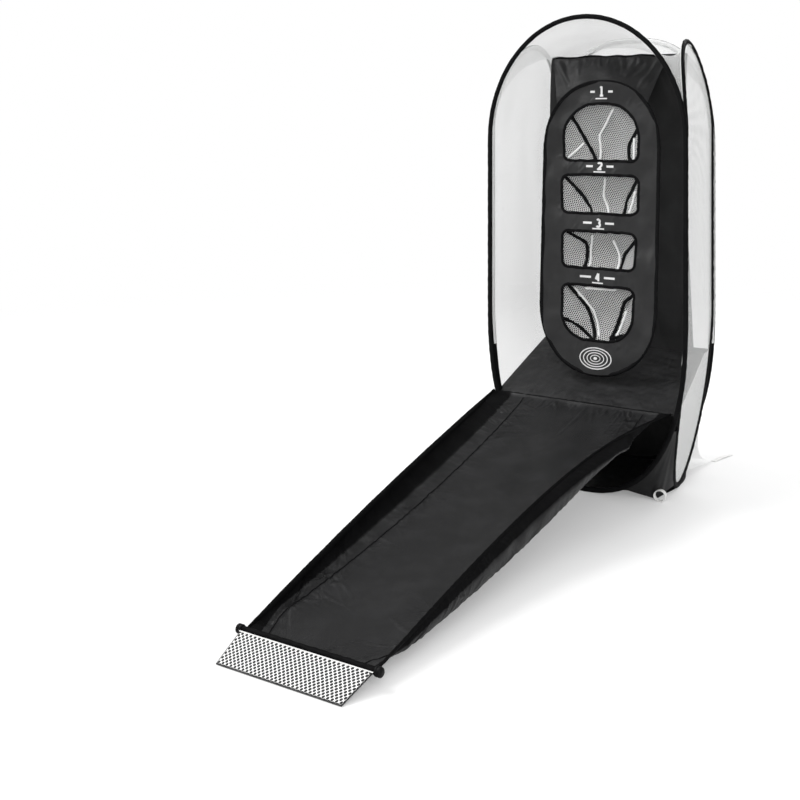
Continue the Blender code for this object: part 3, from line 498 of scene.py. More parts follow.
def folded_tape(count, outer, inner, bulge, lip, seed, sides=14):
    """Section of a tape folded round a wire, with a flat lip inwards and small puckers."""
    made = np.zeros((count, sides, 2))
    place = np.arange(count) * TAPE_STEP
    for k in range(sides):
        turn = TAU * k / sides
        reach = (1 + math.cos(turn)) / 2
        across = inner + (outer - inner) * reach
        swell = lip + (bulge - lip) * min(1.0, reach * 1.7) ** 0.7
        pucker = waves(place, place * 0 + k * 0.002, seed + k // 3, 0.022, 5)
        thick = math.copysign(abs(math.sin(turn)) ** 0.8, math.sin(turn)) * swell
        made[:, k, 0] = across + 0.0003 * pucker
        made[:, k, 1] = thick * (1 + 0.10 * pucker)
    return made


def add_stitches(name, path, outward, body):
    """A row of thread stitches, each a small rounded bar that lies along the path."""
    points = resample(path, STITCH_LENGTH + STITCH_GAP)
    outward = np.broadcast_to(outward, np.shape(path))
    marks, given = np.linspace(0, 1, len(points)), np.linspace(0, 1, len(path))
    lift = np.stack([np.interp(marks, given, outward[:, k]) for k in range(3)], axis=1)
    out, side = frames(points, lift, False)
    along = np.cross(out, side)
    verts, faces = [], []
    for p, o, s, a in zip(points, out, side, along):
        base = len(verts)
        for reach, fat in ((-0.5, 0.25), (-0.3, 1.0), (0.3, 1.0), (0.5, 0.25)):
            middle = p + a * STITCH_LENGTH * reach
            for x, y in ((-1, -0.4), (0, 0.9), (1, -0.4)):
                verts.append(middle + s * STITCH_RADIUS * x * fat + o * STITCH_RADIUS * y * fat)
        for r in range(3):
            for k in range(3):
                m = (k + 1) % 3
                first = base + 3 * r
                faces.append((first + k, first + m, first + 3 + m, first + 3 + k))
        faces.append((base + 2, base + 1, base))
        faces.append((base + 9, base + 10, base + 11))
    return add_piece(name, verts, faces, THREAD, body)


# ---- outlines ---------------------------------------------------------------------------------

def quarter(width, height, power, steps):
    """A quarter of a rounded outline, a circle's at power 2 and squarer above it."""
    turns = np.linspace(0, math.pi / 2, steps + 1)
    bend = 2 / power
    return np.stack((width * np.abs(np.cos(turns)) ** bend, height * np.sin(turns) ** bend), axis=1)


def hoop_outline(half, height, crown, foot, foot_power, crown_power, steps=48, runs=60):
    """The hoop's centre line as (across, up), from the foot round by the right side."""
    low = quarter(half, foot, foot_power, steps)
    low = np.stack((low[:, 0], TAPE + foot - low[:, 1]), axis=1)
    level = height - TAPE - crown
    high = quarter(half, crown, crown_power, steps) + (0, level)
    marks = np.linspace(TAPE + foot, level, runs + 1)[1:-1]
    middle = np.stack((np.full(len(marks), half), marks), axis=1)
    right = np.vstack((low[::-1], middle, high))
    return np.vstack((right, right[-2:0:-1] * (-1, 1)))


def inward(outline, distance):
    """The outline moved in by a distance, or out where it is negative."""
    tangent = unit(np.roll(outline, -1, axis=0) - np.roll(outline, 1, axis=0))
    return outline + np.stack((-tangent[:, 1], tangent[:, 0]), axis=1) * distance


def side_wall(y, z):
    """How far out the side wall stands at this depth and height."""
    half = FRONT_HALF + (BACK_HALF - FRONT_HALF) * y / BACK_PLANE
    low = np.maximum(0.0, (FRONT_FOOT - z) / FRONT_FOOT)
    high = np.maximum(0.0, (z - CROWN_LEVEL) / SIDE_CROWN)
    return half - FOOT_BOW * low ** BOW_POWER - TOP_BOW * high ** BOW_POWER


FRONT_LINE = hoop_outline(FRONT_HALF, FRONT_HEIGHT, FRONT_CROWN, FRONT_FOOT, FOOT_POWER, FRONT_POWER)
BACK_LINE = hoop_outline(BACK_HALF, BACK_HEIGHT, FRONT_CROWN, FRONT_FOOT, FOOT_POWER, BACK_POWER)
SIDE_LINE = hoop_outline(SIDE_HALF, SIDE_HEIGHT, SIDE_CROWN, SIDE_FOOT, 2.0, 2.0)


def on_plane(y):
    """What puts an outline in the upright plane at this depth."""
    return lambda outline: np.stack((outline[:, 0], np.full(len(outline), y), outline[:, 1]), axis=1)


def on_side(outline):
    """Points of the right wall, from depths off its middle and heights."""
    y, z = SIDE_MIDDLE + outline[:, 0], outline[:, 1]
    return np.stack((side_wall(y, z), y, z), axis=1)


def on_left(outline):
    """The same points on the left wall."""
    return mirrored(on_side(outline))


# ---- hoops ------------------------------------------------------------------------------------

def dress_hoop(name, line, place, seed, lip=0.0125):
    """The folded tape round one hoop, with its row of stitches."""
    line = resample(line, TAPE_STEP, closed=True)
    path = place(line)
    out = place(inward(line, -0.002)) - path
    section = folded_tape(len(path), TAPE + 0.0012, -lip, 0.0064, 0.0030, seed)
    add_sweep(name + "_hoop_tape", path, out, section, BINDING, "cage", (name + "_hoop_binding",),
              closed=True)
    row = place(inward(line, lip * 0.62))
    _, side = frames(path, out, True)
    for sign, tag in ((1, "a"), (-1, "b")):
        add_stitches("%s_hoop_stitches_%s" % (name, tag), row + side * 0.0024 * sign, side * sign, "cage")


def add_lining(name, line, place, inside):
    """The net passes inside a hoop: a strip of it from the wall's edge round the hoop's inner face."""
    line = resample(line, TAPE_STEP, closed=True)
    left_half = line[:, 0] < 0
    first = np.argmin(np.abs(line[:, 1] - SLOPE_BACK - 0.02) + 9 * left_half)
    line = np.roll(line, -int(first), axis=0)
    path = place(line)
    out = place(inward(line, -0.002)) - path
    keep = line[:, 1] > LINING_START
    path, out = path[keep], out[keep]
    out, _ = frames(path, out, False)
    inside = np.array(inside, float)
    inner = unit(inside - out * (out @ inside)[:, None])
    rows = [path - out * 0.0140 + inner * 0.0012]
    for turn in np.radians(np.linspace(25, 150, 9)):
        rows.append(path + LINING_REACH * (inner * math.sin(turn) - out * math.cos(turn)))
    add_sheet(name + "_hoop_lining", np.array(rows).transpose(1, 0, 2), LINING_NET)


def build_hoops():
    dress_hoop("front", FRONT_LINE, on_plane(0.0), 11, 0.0085)
    netted = (("back", BACK_LINE, on_plane(BACK_PLANE), (0, -1, 0)),
              ("right", SIDE_LINE, on_side, (-1, 0, 0)),
              ("left", SIDE_LINE, on_left, (1, 0, 0)))
    for n, (name, line, place, _) in enumerate(netted):
        dress_hoop(name, line, place, 12 + n)
    for name, line, place, inside in netted:
        add_lining(name, line, place, inside)
    for name in ("front_hoop_wire", "back_hoop_wire", "left_hoop_wire", "right_hoop_wire",
                 "target_rim_wire", "crossbar_rod"):
        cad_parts[name].data.materials[0] = STEEL


# ---- net walls --------------------------------------------------------------------------------

def filled_rows(outline, columns):
    """Rows across a closed outline, from its foot up to its crown, as (across, up)."""
    count = len(outline)
    half = count // 2
    tip = 0.004
    share = np.linspace(0, 1, columns)[:, None]
    spread = np.stack((tip * (2 * share[:, 0] - 1), np.zeros(columns)), axis=1)
    rows = [outline[0] + spread]
    for k in range(1, half):
        left, right = outline[count - k], outline[k]
        rows.append(left + (right - left) * share)
    rows.append(outline[half] + spread)
    return np.array(rows)


def build_side_nets():
    """Both side nets, stretched in their hoops with faint upright folds."""
    rows = filled_rows(inward(SIDE_LINE, TAPE - 0.0015), 44)
    y = SIDE_MIDDLE + rows[..., 0]
    z = rows[..., 1]
    fade = edge_fade(y.shape, 7)
    for sign, name, seed in ((1, "right_net", 21), (-1, "left_net", 22)):
        folds = waves(y, z * 0.10, seed, 0.085) * 0.0022 + waves(y, z * 0.3, seed + 5, 0.24) * 0.0030
        upper = np.clip((z - 0.40) / 0.2, 0, 1)
        x = side_wall(y, z) + fade * folds * upper
        grid = np.stack((sign * x, y, z), axis=2)
        add_sheet(name + "_wall", grid, WALL_NET, "cage", (name,), uv=(y, z))


def build_back_net():
    """The back net, with folds that are weaker low down."""
    rows = filled_rows(inward(BACK_LINE, TAPE - 0.0015), 60)
    x, z = rows[..., 0], rows[..., 1]
    fade = edge_fade(x.shape, 8)
    folds = waves(x, z * 0.12, 31, 0.11) * 0.0030
    y = BACK_PLANE + fade * np.where(z > 0.5, folds, 0.3 * folds)
    add_sheet("back_net_wall", np.stack((x, y, z), axis=2), WALL_NET, "cage", ("back_net",), uv=(x, z))


def crown_point(half, height, power, turn):
    """A point of a hoop's rounded top, as across and height; turn runs round the arc."""
    level = height - TAPE - FRONT_CROWN
    across = math.copysign(abs(math.cos(turn)) ** (2 / power), math.cos(turn))
    return half * across, level + FRONT_CROWN * math.sin(turn) ** (2 / power)


def roof_grid(across=16, deep=8, pull=1.2):
    """The roof net drawn taut between the crowns of all four hoops."""
    edge = TAPE + NET_THICK
    first = math.asin(0.06 / FRONT_CROWN)
    grid = np.zeros((deep + 1, across + 1, 3))
    for c in range(across + 1):
        turn = first + (math.pi - 2 * first) * c / across
        x, z = crown_point(FRONT_HALF - edge, FRONT_HEIGHT, FRONT_POWER, turn)
        grid[0, c] = (x, edge, z)
        x, z = crown_point(BACK_HALF - edge, BACK_HEIGHT, BACK_POWER, turn)
        grid[deep, c] = (x, BACK_PLANE - edge, z)
    low = math.asin((grid[0, 0, 2] - CROWN_LEVEL) / SIDE_CROWN)
    high = math.pi - math.asin((grid[deep, 0, 2] - CROWN_LEVEL) / SIDE_CROWN)
    for r in range(1, deep):
        turn = low + (high - low) * r / deep
        y = SIDE_MIDDLE - SIDE_HALF * math.cos(turn)
        z = CROWN_LEVEL + SIDE_CROWN * math.sin(turn)
        x = side_wall(y, z) - edge
        grid[r, 0] = (x, y, z)
        grid[r, across] = (-x, y, z)
    for _ in range(600):
        around = grid[:-2, 1:-1] + grid[2:, 1:-1] + pull * (grid[1:-1, :-2] + grid[1:-1, 2:])
        grid[1:-1, 1:-1] = around / (2 + 2 * pull)
    return grid


def build_roof():
    grid = refine(roof_grid(), 6, 5)
    tuck, side_tuck = 0.0045, 0.0040
    grid[0, :, 1] -= tuck
    grid[-1, :, 1] += tuck
    grid[:, 0, 0] += side_tuck
    grid[:, -1, 0] -= side_tuck
    u, v = lengths(grid)
    fade = edge_fade(grid.shape[:2], 8)
    lift = fade * (waves(u, v, 41, 0.16) * 0.0022 + waves(u * 0.3, v, 42, 0.09) * 0.0012)
    grid = grid + normals(grid) * lift[..., None]
    add_sheet("roof_net_cover", grid, WALL_NET, "cage", ("roof_net",))


# ---- lower cage -------------------------------------------------------------------------------

def slope_height(y):
    """Height of the return slope at a depth behind the mouth."""
    return FOLD_HEIGHT + (SLOPE_BACK - FOLD_HEIGHT) * np.clip(y / SHEET_PLANE, 0, 1)


def hoop_half_at(z):
    """Half width of the front hoop at a height on its rounded foot."""
    drop = (TAPE + FRONT_FOOT - z) / FRONT_FOOT
    return FRONT_HALF * (1 - drop ** FOOT_POWER) ** (1 / FOOT_POWER)


def side_edge(z):
    """How far a side hoop's inside reaches from its middle at a height on its rounded foot."""
    reach = SIDE_HALF - TAPE - CLOTH_THICK
    tall = SIDE_FOOT - TAPE - CLOTH_THICK
    drop = np.clip((TAPE + SIDE_FOOT - z) / tall, 0, 1)
    return reach * np.sqrt(np.maximum(0.0, 1 - drop ** 2))


def build_slope():
    """The slope that rolls a ball back out."""
    past_hoop = 0.024
    y = np.linspace(past_hoop, SHEET_PLANE, 66)[1:]
    y = np.concatenate((np.linspace(FIT, SIDE_FRONT + TAPE + SEAM, 5), y))
    z = slope_height(y)
    inner = hoop_half_at(FOLD_HEIGHT) - FOLD_INSET
    half = side_wall(y, z) - SKIRT_INSET - CLOTH_THICK / 2 - SEAM
    half = np.where(y < past_hoop, np.minimum(half, inner), half)
    s = np.linspace(-1, 1, 120)
    x = half[:, None] * s[None, :]
    yy = np.repeat(y[:, None], len(s), axis=1)
    lines = all_creases(
        ((-0.34, 0.03), (-0.30, 0.33), 10, 51, (0.05, 0.16), 0.0040, 0.9, -1.0),
        ((0.34, 0.03), (0.30, 0.33), 8, 52, (0.05, 0.16), 0.0030, 0.9, 1.0),
        ((-0.30, 0.335), (0.30, 0.335), 14, 53, (0.04, 0.18), 0.0024, 0.8, -1.0),
        ((-0.34, 0.012), (0.34, 0.012), 34, 54, (0.012, 0.06), 0.0034, 0.8, 1.0))
    fade = edge_fade(x.shape, 5)
    lift = creases(x, yy, lines) + waves(x, yy, 55, 0.12) * 0.0022 + 0.0006 * waves(x, yy, 56, 0.035)
    sag = -0.010 * (1 - s[None, :] ** 2) * np.sin(math.pi * np.clip(y / SHEET_PLANE, 0, 1))[:, None]
    zz = z[:, None] + fade * (lift + sag)
    grid = np.stack((x, yy, zz), axis=2)
    # the slope's cloth is painted lighter: painted light against the cage's shade
    add_sheet("slope_cloth_painted_light", grid, SLOPE_CLOTH_PAINTED_LIGHT, "cage", ("return_slope",), CLOTH_THICK)


def build_fold_seam():
    """The stitched seam where the chute meets the slope."""
    x = np.linspace(-0.322, 0.322, 160)
    z = FOLD_HEIGHT + 0.0026 + 0.0006 * waves(x, 0 * x, 57, 0.03)
    path = np.stack((x, 0 * x + 0.0044, z), axis=1)
    section = folded_tape(len(x), 0.0013, -0.0008, 0.0028, 0.0024, 58, 10)
    add_sweep("fold_seam_tape", path, UP, section, BINDING, "cage")
    add_stitches("fold_stitches", path + (0, 0.0052, 0.0004), UP, "cage")


def build_back_sheet():
    """The dark sheet behind the target, from the slope up to a loose frill."""
    t = np.linspace(0, 1, 130)[:, None]
    s = np.linspace(-1, 1, 64)[None, :]
    half = (SHEET_WIDTH + (SHEET_TOP_WIDTH - SHEET_WIDTH) * t) / 2
    x = half * s
    low = SLOPE_BACK + 0.0014
    z = low + (SHEET_TOP + TOP_FRILL - low) * t + 0 * s
    y = SHEET_PLANE + (SHEET_TOP_PLANE - SHEET_PLANE) * t + 0 * s
    fade = edge_fade(x.shape, 6)
    lines = all_creases(((-0.26, 0.46), (0.26, 0.46), 16, 61, (0.05, 0.22), 0.0035, 0.35, 1.0),
                        ((-0.23, 1.50), (0.23, 1.50), 12, 62, (0.05, 0.25), 0.0030, 0.5, -1.0))
    x = x + 0.029 * t ** 3
    back = waves(x, z * 0.25, 63, 0.16) * 0.0035 + creases(x, z, lines)
    y = y + fade * (back + 0.004) + 0.006 * t ** 30
    grid = np.stack((x, y, z), axis=2)[:, ::-1]
    # the back sheet takes the slope's lighter cloth: painted light against the cage's shade
    add_sheet("back_sheet_cloth", grid, SLOPE_CLOTH_PAINTED_LIGHT, "cage", ("back_sheet",), CLOTH_THICK)


def build_skirts():
    """Black cloth below the slope at each side, with a facing of net outside it."""
    foot = TAPE * 2 + 0.004
    rows = []
    for v in np.linspace(0, 1, 40):
        row = []
        for u in np.linspace(-1, 1, 40):
            z = foot
            for _ in range(8):
                z = foot + (slope_height(SIDE_MIDDLE + u * side_edge(z)) - foot) * v
            y = SIDE_MIDDLE + u * side_edge(z)
            row.append((side_wall(y, z) - SKIRT_INSET, y, z))
        rows.append(row)
    grid = np.array(rows, float)
    fade = edge_fade(grid.shape[:2], 5)
    for sign, name, seed in ((1, "right_skirt", 71), (-1, "left_skirt", 72)):
        cloth = grid.copy()
        y, z = cloth[..., 1], cloth[..., 2]
        cloth[..., 0] -= fade * (0.0016 + 0.0014 * np.abs(waves(y, z * 0.4, seed, 0.07)))
        facing = grid + (0.0012, 0, 0)
        if sign < 0:
            cloth, facing = mirrored(cloth)[:, ::-1], mirrored(facing)[:, ::-1]
        add_sheet(name + "_cloth", cloth, CLOTH, "cage", (name,), CLOTH_THICK)
        add_sheet(name + "_net_facing", facing, LINING_NET)


def build_back_skirt():
    """Black cloth inside the back net, up to the slope's back edge."""
    z = np.linspace(SLOPE_BACK, 0.0135, 60)
    half = hoop_half_at(z - 0.0055) * BACK_HALF / FRONT_HALF - 0.0040
    x = half[:, None] * np.linspace(-1, 1, 70)[None, :]
    zz = np.repeat(z[:, None], 70, axis=1)
    fade = edge_fade(x.shape, 5)
    y = BACK_PLANE - 0.0022 - fade * (0.0010 + 0.0022 * np.abs(waves(x, zz * 0.4, 73, 0.09)))
    add_sheet("back_skirt_cloth", np.stack((x, y, zz), axis=2), CLOTH, "cage", ("back_skirt",), CLOTH_THICK)


def build_floor_sheet():
    """The sheet on the ground. Its ends rise with the hoops."""
    near = math.sqrt(TAPE ** 2 - (TAPE - CLOTH_THICK) ** 2) + FIT
    s, t = np.meshgrid(np.linspace(-1, 1, 70), np.linspace(0, 1, 60))
    end_half, middle_half = 0.175, 0.262
    half = end_half + (middle_half - end_half) * np.sin(math.pi * t) ** 0.45
    x = s * half
    y = near + (BACK_PLANE - 2 * near) * t
    fade = edge_fade(x.shape, 4)
    lift = np.abs(waves(x, y, 75, 0.10)) * 0.0016 + np.abs(waves(x, y, 76, 0.03)) * 0.0005
    foot = FRONT_FOOT * (1 - (np.abs(x) / FRONT_HALF) ** FOOT_POWER) ** (1 / FOOT_POWER)
    rise = TAPE + FRONT_FOOT - foot
    ends = np.clip(1 - np.minimum(t, 1 - t) / 0.22, 0, 1) ** 1.6
    z = CLOTH_THICK / 2 + fade * lift + rise * ends
    grid = np.stack((x, y, z), axis=2)
    add_sheet("floor_sheet_cloth", grid, CLOTH, "cage", ("floor_sheet",), CLOTH_THICK)


def hoop_foot(narrow, plane, first_turn, rows):
    """Where a corner's cloth is sewn to the front or back hoop, from its top down."""
    edge = TAPE + NET_THICK
    levels = np.linspace(GUSSET_TOP, GUSSET_FOOT, rows)
    turns = np.radians(np.linspace(first_turn, 90, rows))
    half = hoop_half_at(levels) * narrow
    return np.stack((half + edge * np.cos(turns), plane + edge * np.sin(turns), levels), axis=1)


def wall_foot(direction, rows):
    """Where a corner's cloth is sewn to the side hoop, at its front (-1) or rear (1)."""
    edge = TAPE + NET_THICK
    middle = TAPE + SIDE_FOOT
    reach, tall = SIDE_HALF + edge, SIDE_FOOT + edge
    first, last = (math.asin((middle - level) / tall) for level in (GUSSET_TOP, GUSSET_FOOT))
    turns = np.linspace(first, last, rows)
    y = SIDE_MIDDLE + direction * reach * np.cos(turns)
    z = middle - tall * np.sin(turns)
    return np.stack((side_wall(y, z), y, z), axis=1)


def gusset(hoop_side, wall_side, peg, fold, seed):
    """Cloth between two hoops' feet, drawn down to a point in folds."""
    count = len(hoop_side)
    across = np.linspace(0, 1, 41)[None, :, None]
    pull = ((np.arange(count) / (count - 1)) ** 2)[:, None, None]
    a, b = hoop_side[:, None], wall_side[:, None]
    middle = (a + b) / 2 * (1 - pull) + np.array(peg) * pull
    near = np.clip(1 - 2 * across, 0, 1)
    far = np.clip(2 * across - 1, 0, 1)
    grid = a * near + b * far + middle * (1 - near - far)
    forward = peg[1] < BACK_PLANE / 2
    out = unit(np.array((1.0, -0.6 if forward else 0.6, 0.2)))
    s, t = across[..., 0], pull[..., 0]
    ripple = np.sin(s * TAU * 3.5 + 0.6 * waves(s * 0 + t * 0.3, t, seed, 0.5))
    size = fold * t * np.sin(math.pi * s)
    return grid + out * (ripple * size)[..., None]


def build_gussets():
    rows = 44
    peg = (*FRONT_PEG, CLOTH_THICK)
    corner = gusset(hoop_foot(1.0, 0.0, 45, rows), wall_foot(-1, rows), peg, 0.0035, 81)[::-1]
    for name, grid in (("front_right_gusset", corner), ("front_left_gusset", mirrored(corner)[:, ::-1])):
        add_sheet(name + "_cloth", grid, CLOTH, "cage", (name,), CLOTH_THICK)
    peg = (*REAR_PEG, LOOP_THICK + SEAM + NET_THICK / 2)
    narrow = BACK_HALF / FRONT_HALF
    corner = gusset(hoop_foot(narrow, BACK_PLANE, 5, rows), wall_foot(1, rows), peg, 0.003, 82)
    for name, grid in (("rear_right_gusset", corner), ("rear_left_gusset", mirrored(corner))):
        add_sheet(name + "_net", grid, WALL_NET, "cage", (name,))


# ---- webbing ----------------------------------------------------------------------------------

def band(wide, thick, edges=5):
    """Section of flat webbing with rounded edges."""
    half, fat = wide / 2, thick / 2
    made = []
    for sign in (1, -1):
        for turn in np.linspace(-math.pi / 2, math.pi / 2, edges):
            made.append((sign * fat * math.sin(-turn), sign * (half - fat + fat * math.cos(turn))))
    return made


def build_webbing():
    """The ring loops at the front corners and the ground straps at the rear ones."""
    for side, name in ((1, "right"), (-1, "left")):
        x = side * (FRONT_PEG[0] + RING_SHIFT)
        y = FRONT_PEG[1] + 0.0003 - LOOP_WIDTH / 2
        turns = np.linspace(0, TAU, 64, endpoint=False)
        radius = RING_RADIUS * (1 + 0.05 * np.cos(2 * turns + 0.8) + 0.02 * np.cos(3 * turns))
        path = np.stack((x - radius * np.cos(turns), y + 0 * turns, radius * np.sin(turns)), axis=1)
        path[:, 2] += LOOP_THICK / 2 - path[:, 2].min()
        out = path - path.mean(axis=0)
        add_sweep("front_%s_loop_webbing" % name, path, out, band(LOOP_WIDTH, LOOP_THICK + 0.0016), WEBBING,
                  "cage", ("front_%s_loop" % name,), closed=True)
        start = np.array((side * REAR_PEG[0], REAR_PEG[1] - STRAP_LAP, LOOP_THICK / 2))
        along = np.array((side * math.cos(STRAP_ANGLE), math.sin(STRAP_ANGLE), 0.0))
        marks = np.linspace(0, STRAP_LENGTH, 60)
        path = start + along * marks[:, None]
        path[:, 2] += 0.003 * np.sin(marks / STRAP_LENGTH * math.pi) ** 2
        add_sweep("rear_%s_strap_webbing" % name, path, UP, band(LOOP_WIDTH, LOOP_THICK), WEBBING, "cage",
                  ("rear_%s_strap" % name,))


# ---- pocket target ----------------------------------------------------------------------------

LEAN_UP = np.array((0.0, math.sin(TARGET_LEAN), math.cos(TARGET_LEAN)))
LEAN_BACK = np.array((0.0, math.cos(TARGET_LEAN), -math.sin(TARGET_LEAN)))
ACROSS = np.array((1.0, 0.0, 0.0))
TARGET_HALF, TARGET_POWER = TARGET_WIDTH / 2 - RIM, 2.2
TARGET_HOME = np.array((0.0, TARGET_PLANE, TARGET_FOOT))


def on_target(across, up, back=0.0):
    """Points of the leaning target: up runs from its lowest point, back is behind its face."""
    across, up, back = np.broadcast_arrays(np.asarray(across, float), up, back)
    return TARGET_HOME + across[..., None] * ACROSS + up[..., None] * LEAN_UP + back[..., None] * LEAN_BACK


def line_on_target(line, back=0.0):
    return on_target(line[:, 0], line[:, 1], back)


def target_outline(steps=40):
    """The rim of the target as one closed line, across and up."""
    tall = TARGET_CORNER - RIM
    curve = quarter(TARGET_HALF, tall, TARGET_POWER, steps)
    low = np.stack((curve[:, 0], TARGET_CORNER - curve[:, 1]), axis=1)
    high = curve + (0, TARGET_HEIGHT - TARGET_CORNER)
    right = np.vstack((low[::-1], high))
    return np.vstack((right, right[-2:0:-1] * (-1, 1)))


def window_outline(window, grow=0.0, steps=14):
    """A window's edge with its corners, grown outward by a distance."""
    _, wide, tall, drop, top_corner, foot_corner = window
    centre = TARGET_HEIGHT - drop - tall / 2
    half = wide / 2
    made = []
    plan = ((1, -1, foot_corner), (1, 1, top_corner), (-1, 1, top_corner), (-1, -1, foot_corner))
    for n, (sx, sy, radius) in enumerate(plan):
        wide_corner = min(radius, half - 0.002)
        tall_corner = min(radius, tall - 0.024) if radius > tall / 2 else radius
        for k in range(steps + 1):
            turn = math.pi / 2 * (n - 1 + k / steps)
            x = sx * (half - wide_corner) + (wide_corner + grow) * math.cos(turn)
            y = centre + sy * (tall / 2 - tall_corner) + (tall_corner + grow) * math.sin(turn)
            made.append((x, y))
    return np.array(made)


def outline_distance(x, y, outline):
    """Distance to a closed outline, negative inside it, and the nearest point on it."""
    p = np.stack((x, y), axis=-1)
    best = np.full(x.shape, 9.0)
    near = np.zeros(p.shape)
    inside = np.zeros(x.shape, bool)
    for a, b in zip(outline, np.roll(outline, -1, axis=0)):
        along = b - a
        size = max(float((along ** 2).sum()), 1e-14)
        t = np.clip(((p - a) @ along) / size, 0, 1)
        spot = a + t[..., None] * along
        d = np.linalg.norm(p - spot, axis=-1)
        closer = d < best
        best = np.where(closer, d, best)
        near = np.where(closer[..., None], spot, near)
        crosses = (a[1] > y) != (b[1] > y)
        edge = a[0] + (y - a[1]) * (b[0] - a[0]) / (b[1] - a[1] + 1e-14)
        inside ^= crosses & (x < edge)
    return np.where(inside, -best, best), near


def panel_relief(x, y):
    """How far the face of the target stands out of its plane."""
    lines = []
    for n, (_, wide, tall, drop, _, _) in enumerate(WINDOWS):
        top = TARGET_HEIGHT - drop
        low = top - tall
        half = wide / 2
        lines += all_creases(
            ((-half, low - 0.004), (half, low - 0.004), 9, 90 + n, (0.02, 0.05), 0.0016, 1.2, -1.0),
            ((-half, top + 0.004), (half, top + 0.004), 7, 95 + n, (0.02, 0.05), 0.0014, 1.2, 1.0),
            ((half, low), (half, top), 5, 100 + n, (0.02, 0.04), 0.0012, 1.0, -1.0),
            ((-half, low), (-half, top), 5, 105 + n, (0.02, 0.04), 0.0012, 1.0, 1.0))
    relief = 2.4 * creases(x, y, lines) + waves(x, y, 97, 0.13) * 0.0034 + waves(x, y, 98, 0.05) * 0.0006
    rim = np.clip(1 - (np.abs(x) / TARGET_HALF) ** 2, 0, 1)
    return relief * np.minimum(1, rim * 5)


def build_panel():
    """The face of the target: a grid drawn in to the rim and to the windows' edges."""
    cols = int(round(2 * TARGET_HALF / PANEL_STEP)) + 1
    rows = int(round(TARGET_HEIGHT / PANEL_STEP)) + 1
    x, y = np.meshgrid(np.linspace(-TARGET_HALF, TARGET_HALF, cols), np.linspace(0, TARGET_HEIGHT, rows))
    rim, rim_near = outline_distance(x, y, inward(target_outline(), RIM * 0.5))
    keep = rim < 0
    spot = np.where((rim > 0)[..., None], rim_near, np.stack((x, y), axis=-1))
    for window in WINDOWS:
        far, near = outline_distance(x, y, window_outline(window))
        keep &= far > 0
        spot = np.where((far < 0)[..., None], near, spot)
    used = np.zeros(x.shape, bool)
    cells = []
    for r in range(rows - 1):
        for c in range(cols - 1):
            corners = ((r, c), (r, c + 1), (r + 1, c + 1), (r + 1, c))
            if sum(keep[k] for k in corners) >= 2:
                cells.append(corners)
                for k in corners:
                    used[k] = True
    index = np.cumsum(used).reshape(used.shape) - 1
    flat = spot[used]
    relief = panel_relief(flat[:, 0], flat[:, 1])
    front = line_on_target(flat, -relief - CLOTH_THICK / 2)
    rear = line_on_target(flat, -relief + CLOTH_THICK / 2)
    count = len(flat)
    faces, edges = [], {}
    for corners in cells:
        quad = [int(index[k]) for k in corners]
        faces += [tuple(quad), tuple(count + i for i in reversed(quad))]
        for edge in zip(quad, quad[1:] + quad[:1]):
            edges[edge] = True
    faces += [(b, a, count + a, count + b) for a, b in edges if (b, a) not in edges]
    piece = add_piece("target_face", np.vstack((front, rear)), faces, TARGET_CLOTH, "target",
                      ("target_panel",), np.vstack((flat, flat)))
    bm = bmesh.new()
    bm.from_mesh(piece.data)
    bmesh.ops.dissolve_degenerate(bm, dist=1e-6, edges=bm.edges[:])
    bm.to_mesh(piece.data)
    area = sum(f.calc_area() for f in bm.faces) / 2
    bm.free()


def build_rim():
    line = resample(target_outline(), TAPE_STEP, closed=True)
    path = line_on_target(line)
    out = line_on_target(inward(line, -0.002)) - path
    section = folded_tape(len(path), RIM, -0.0095, 0.0036, 0.0014, 111)
    add_sweep("target_rim_tape", path, out, section, BINDING, "target", ("target_rim_binding",), closed=True)
    for sign, tag in ((-1, "front"), (1, "rear")):
        row = line_on_target(inward(line, 0.0066), sign * 0.0021)
        add_stitches("target_rim_stitches_" + tag, row, LEAN_BACK * sign, "target")


def build_hems():
    """Bound edges of the windows."""
    for n, window in enumerate(WINDOWS):
        line = resample(window_outline(window, 0.0036), 0.004, closed=True)
        x, y = line[:, 0], line[:, 1]
        line = line + 0.0007 * np.stack((waves(x, y, 120 + n, 0.05), waves(x, y, 130 + n, 0.05)), axis=1)
        path = line_on_target(line, -panel_relief(line[:, 0], line[:, 1]))
        out = line_on_target(inward(line, -0.002)) - line_on_target(line)
        section = folded_tape(len(path), 0.0058, -0.0050, 0.0032, 0.0026, 140 + n, 12)
        add_sweep(window[0] + "_window_binding", path, out, section, BINDING, "target",
                  (window[0] + "_window_hem",), closed=True)


def pocket_place(window, u, v):
    """A net bag behind a window, in three panels that meet along two slanting seams."""
    _, wide, tall, drop, _, _ = window
    centre = TARGET_HEIGHT - drop - tall / 2
    half = wide / 2 + HEM * 0.6
    seam = 0.40 + 0.60 * v ** 1.4
    deep = np.sin(math.pi * np.clip(v, 0, 1) ** 0.72) ** 0.75 * (1.12 - 0.3 * v)
    flank = np.clip((1 - np.abs(u)) / np.maximum(1 - seam, 0.02), 0, 1)
    crown = np.clip(1 - (np.abs(u) / seam) ** 2, 0, 1)
    sink = deep * (0.72 * flank ** 0.9 + 0.28 * crown)
    depth = 0.0060 + (POCKET_DEPTH - 0.004) * sink
    low = -0.012 * deep * (1 - v)
    return on_target(half * u, centre + (v - 0.5) * (tall + HEM * 1.2) + low, depth)


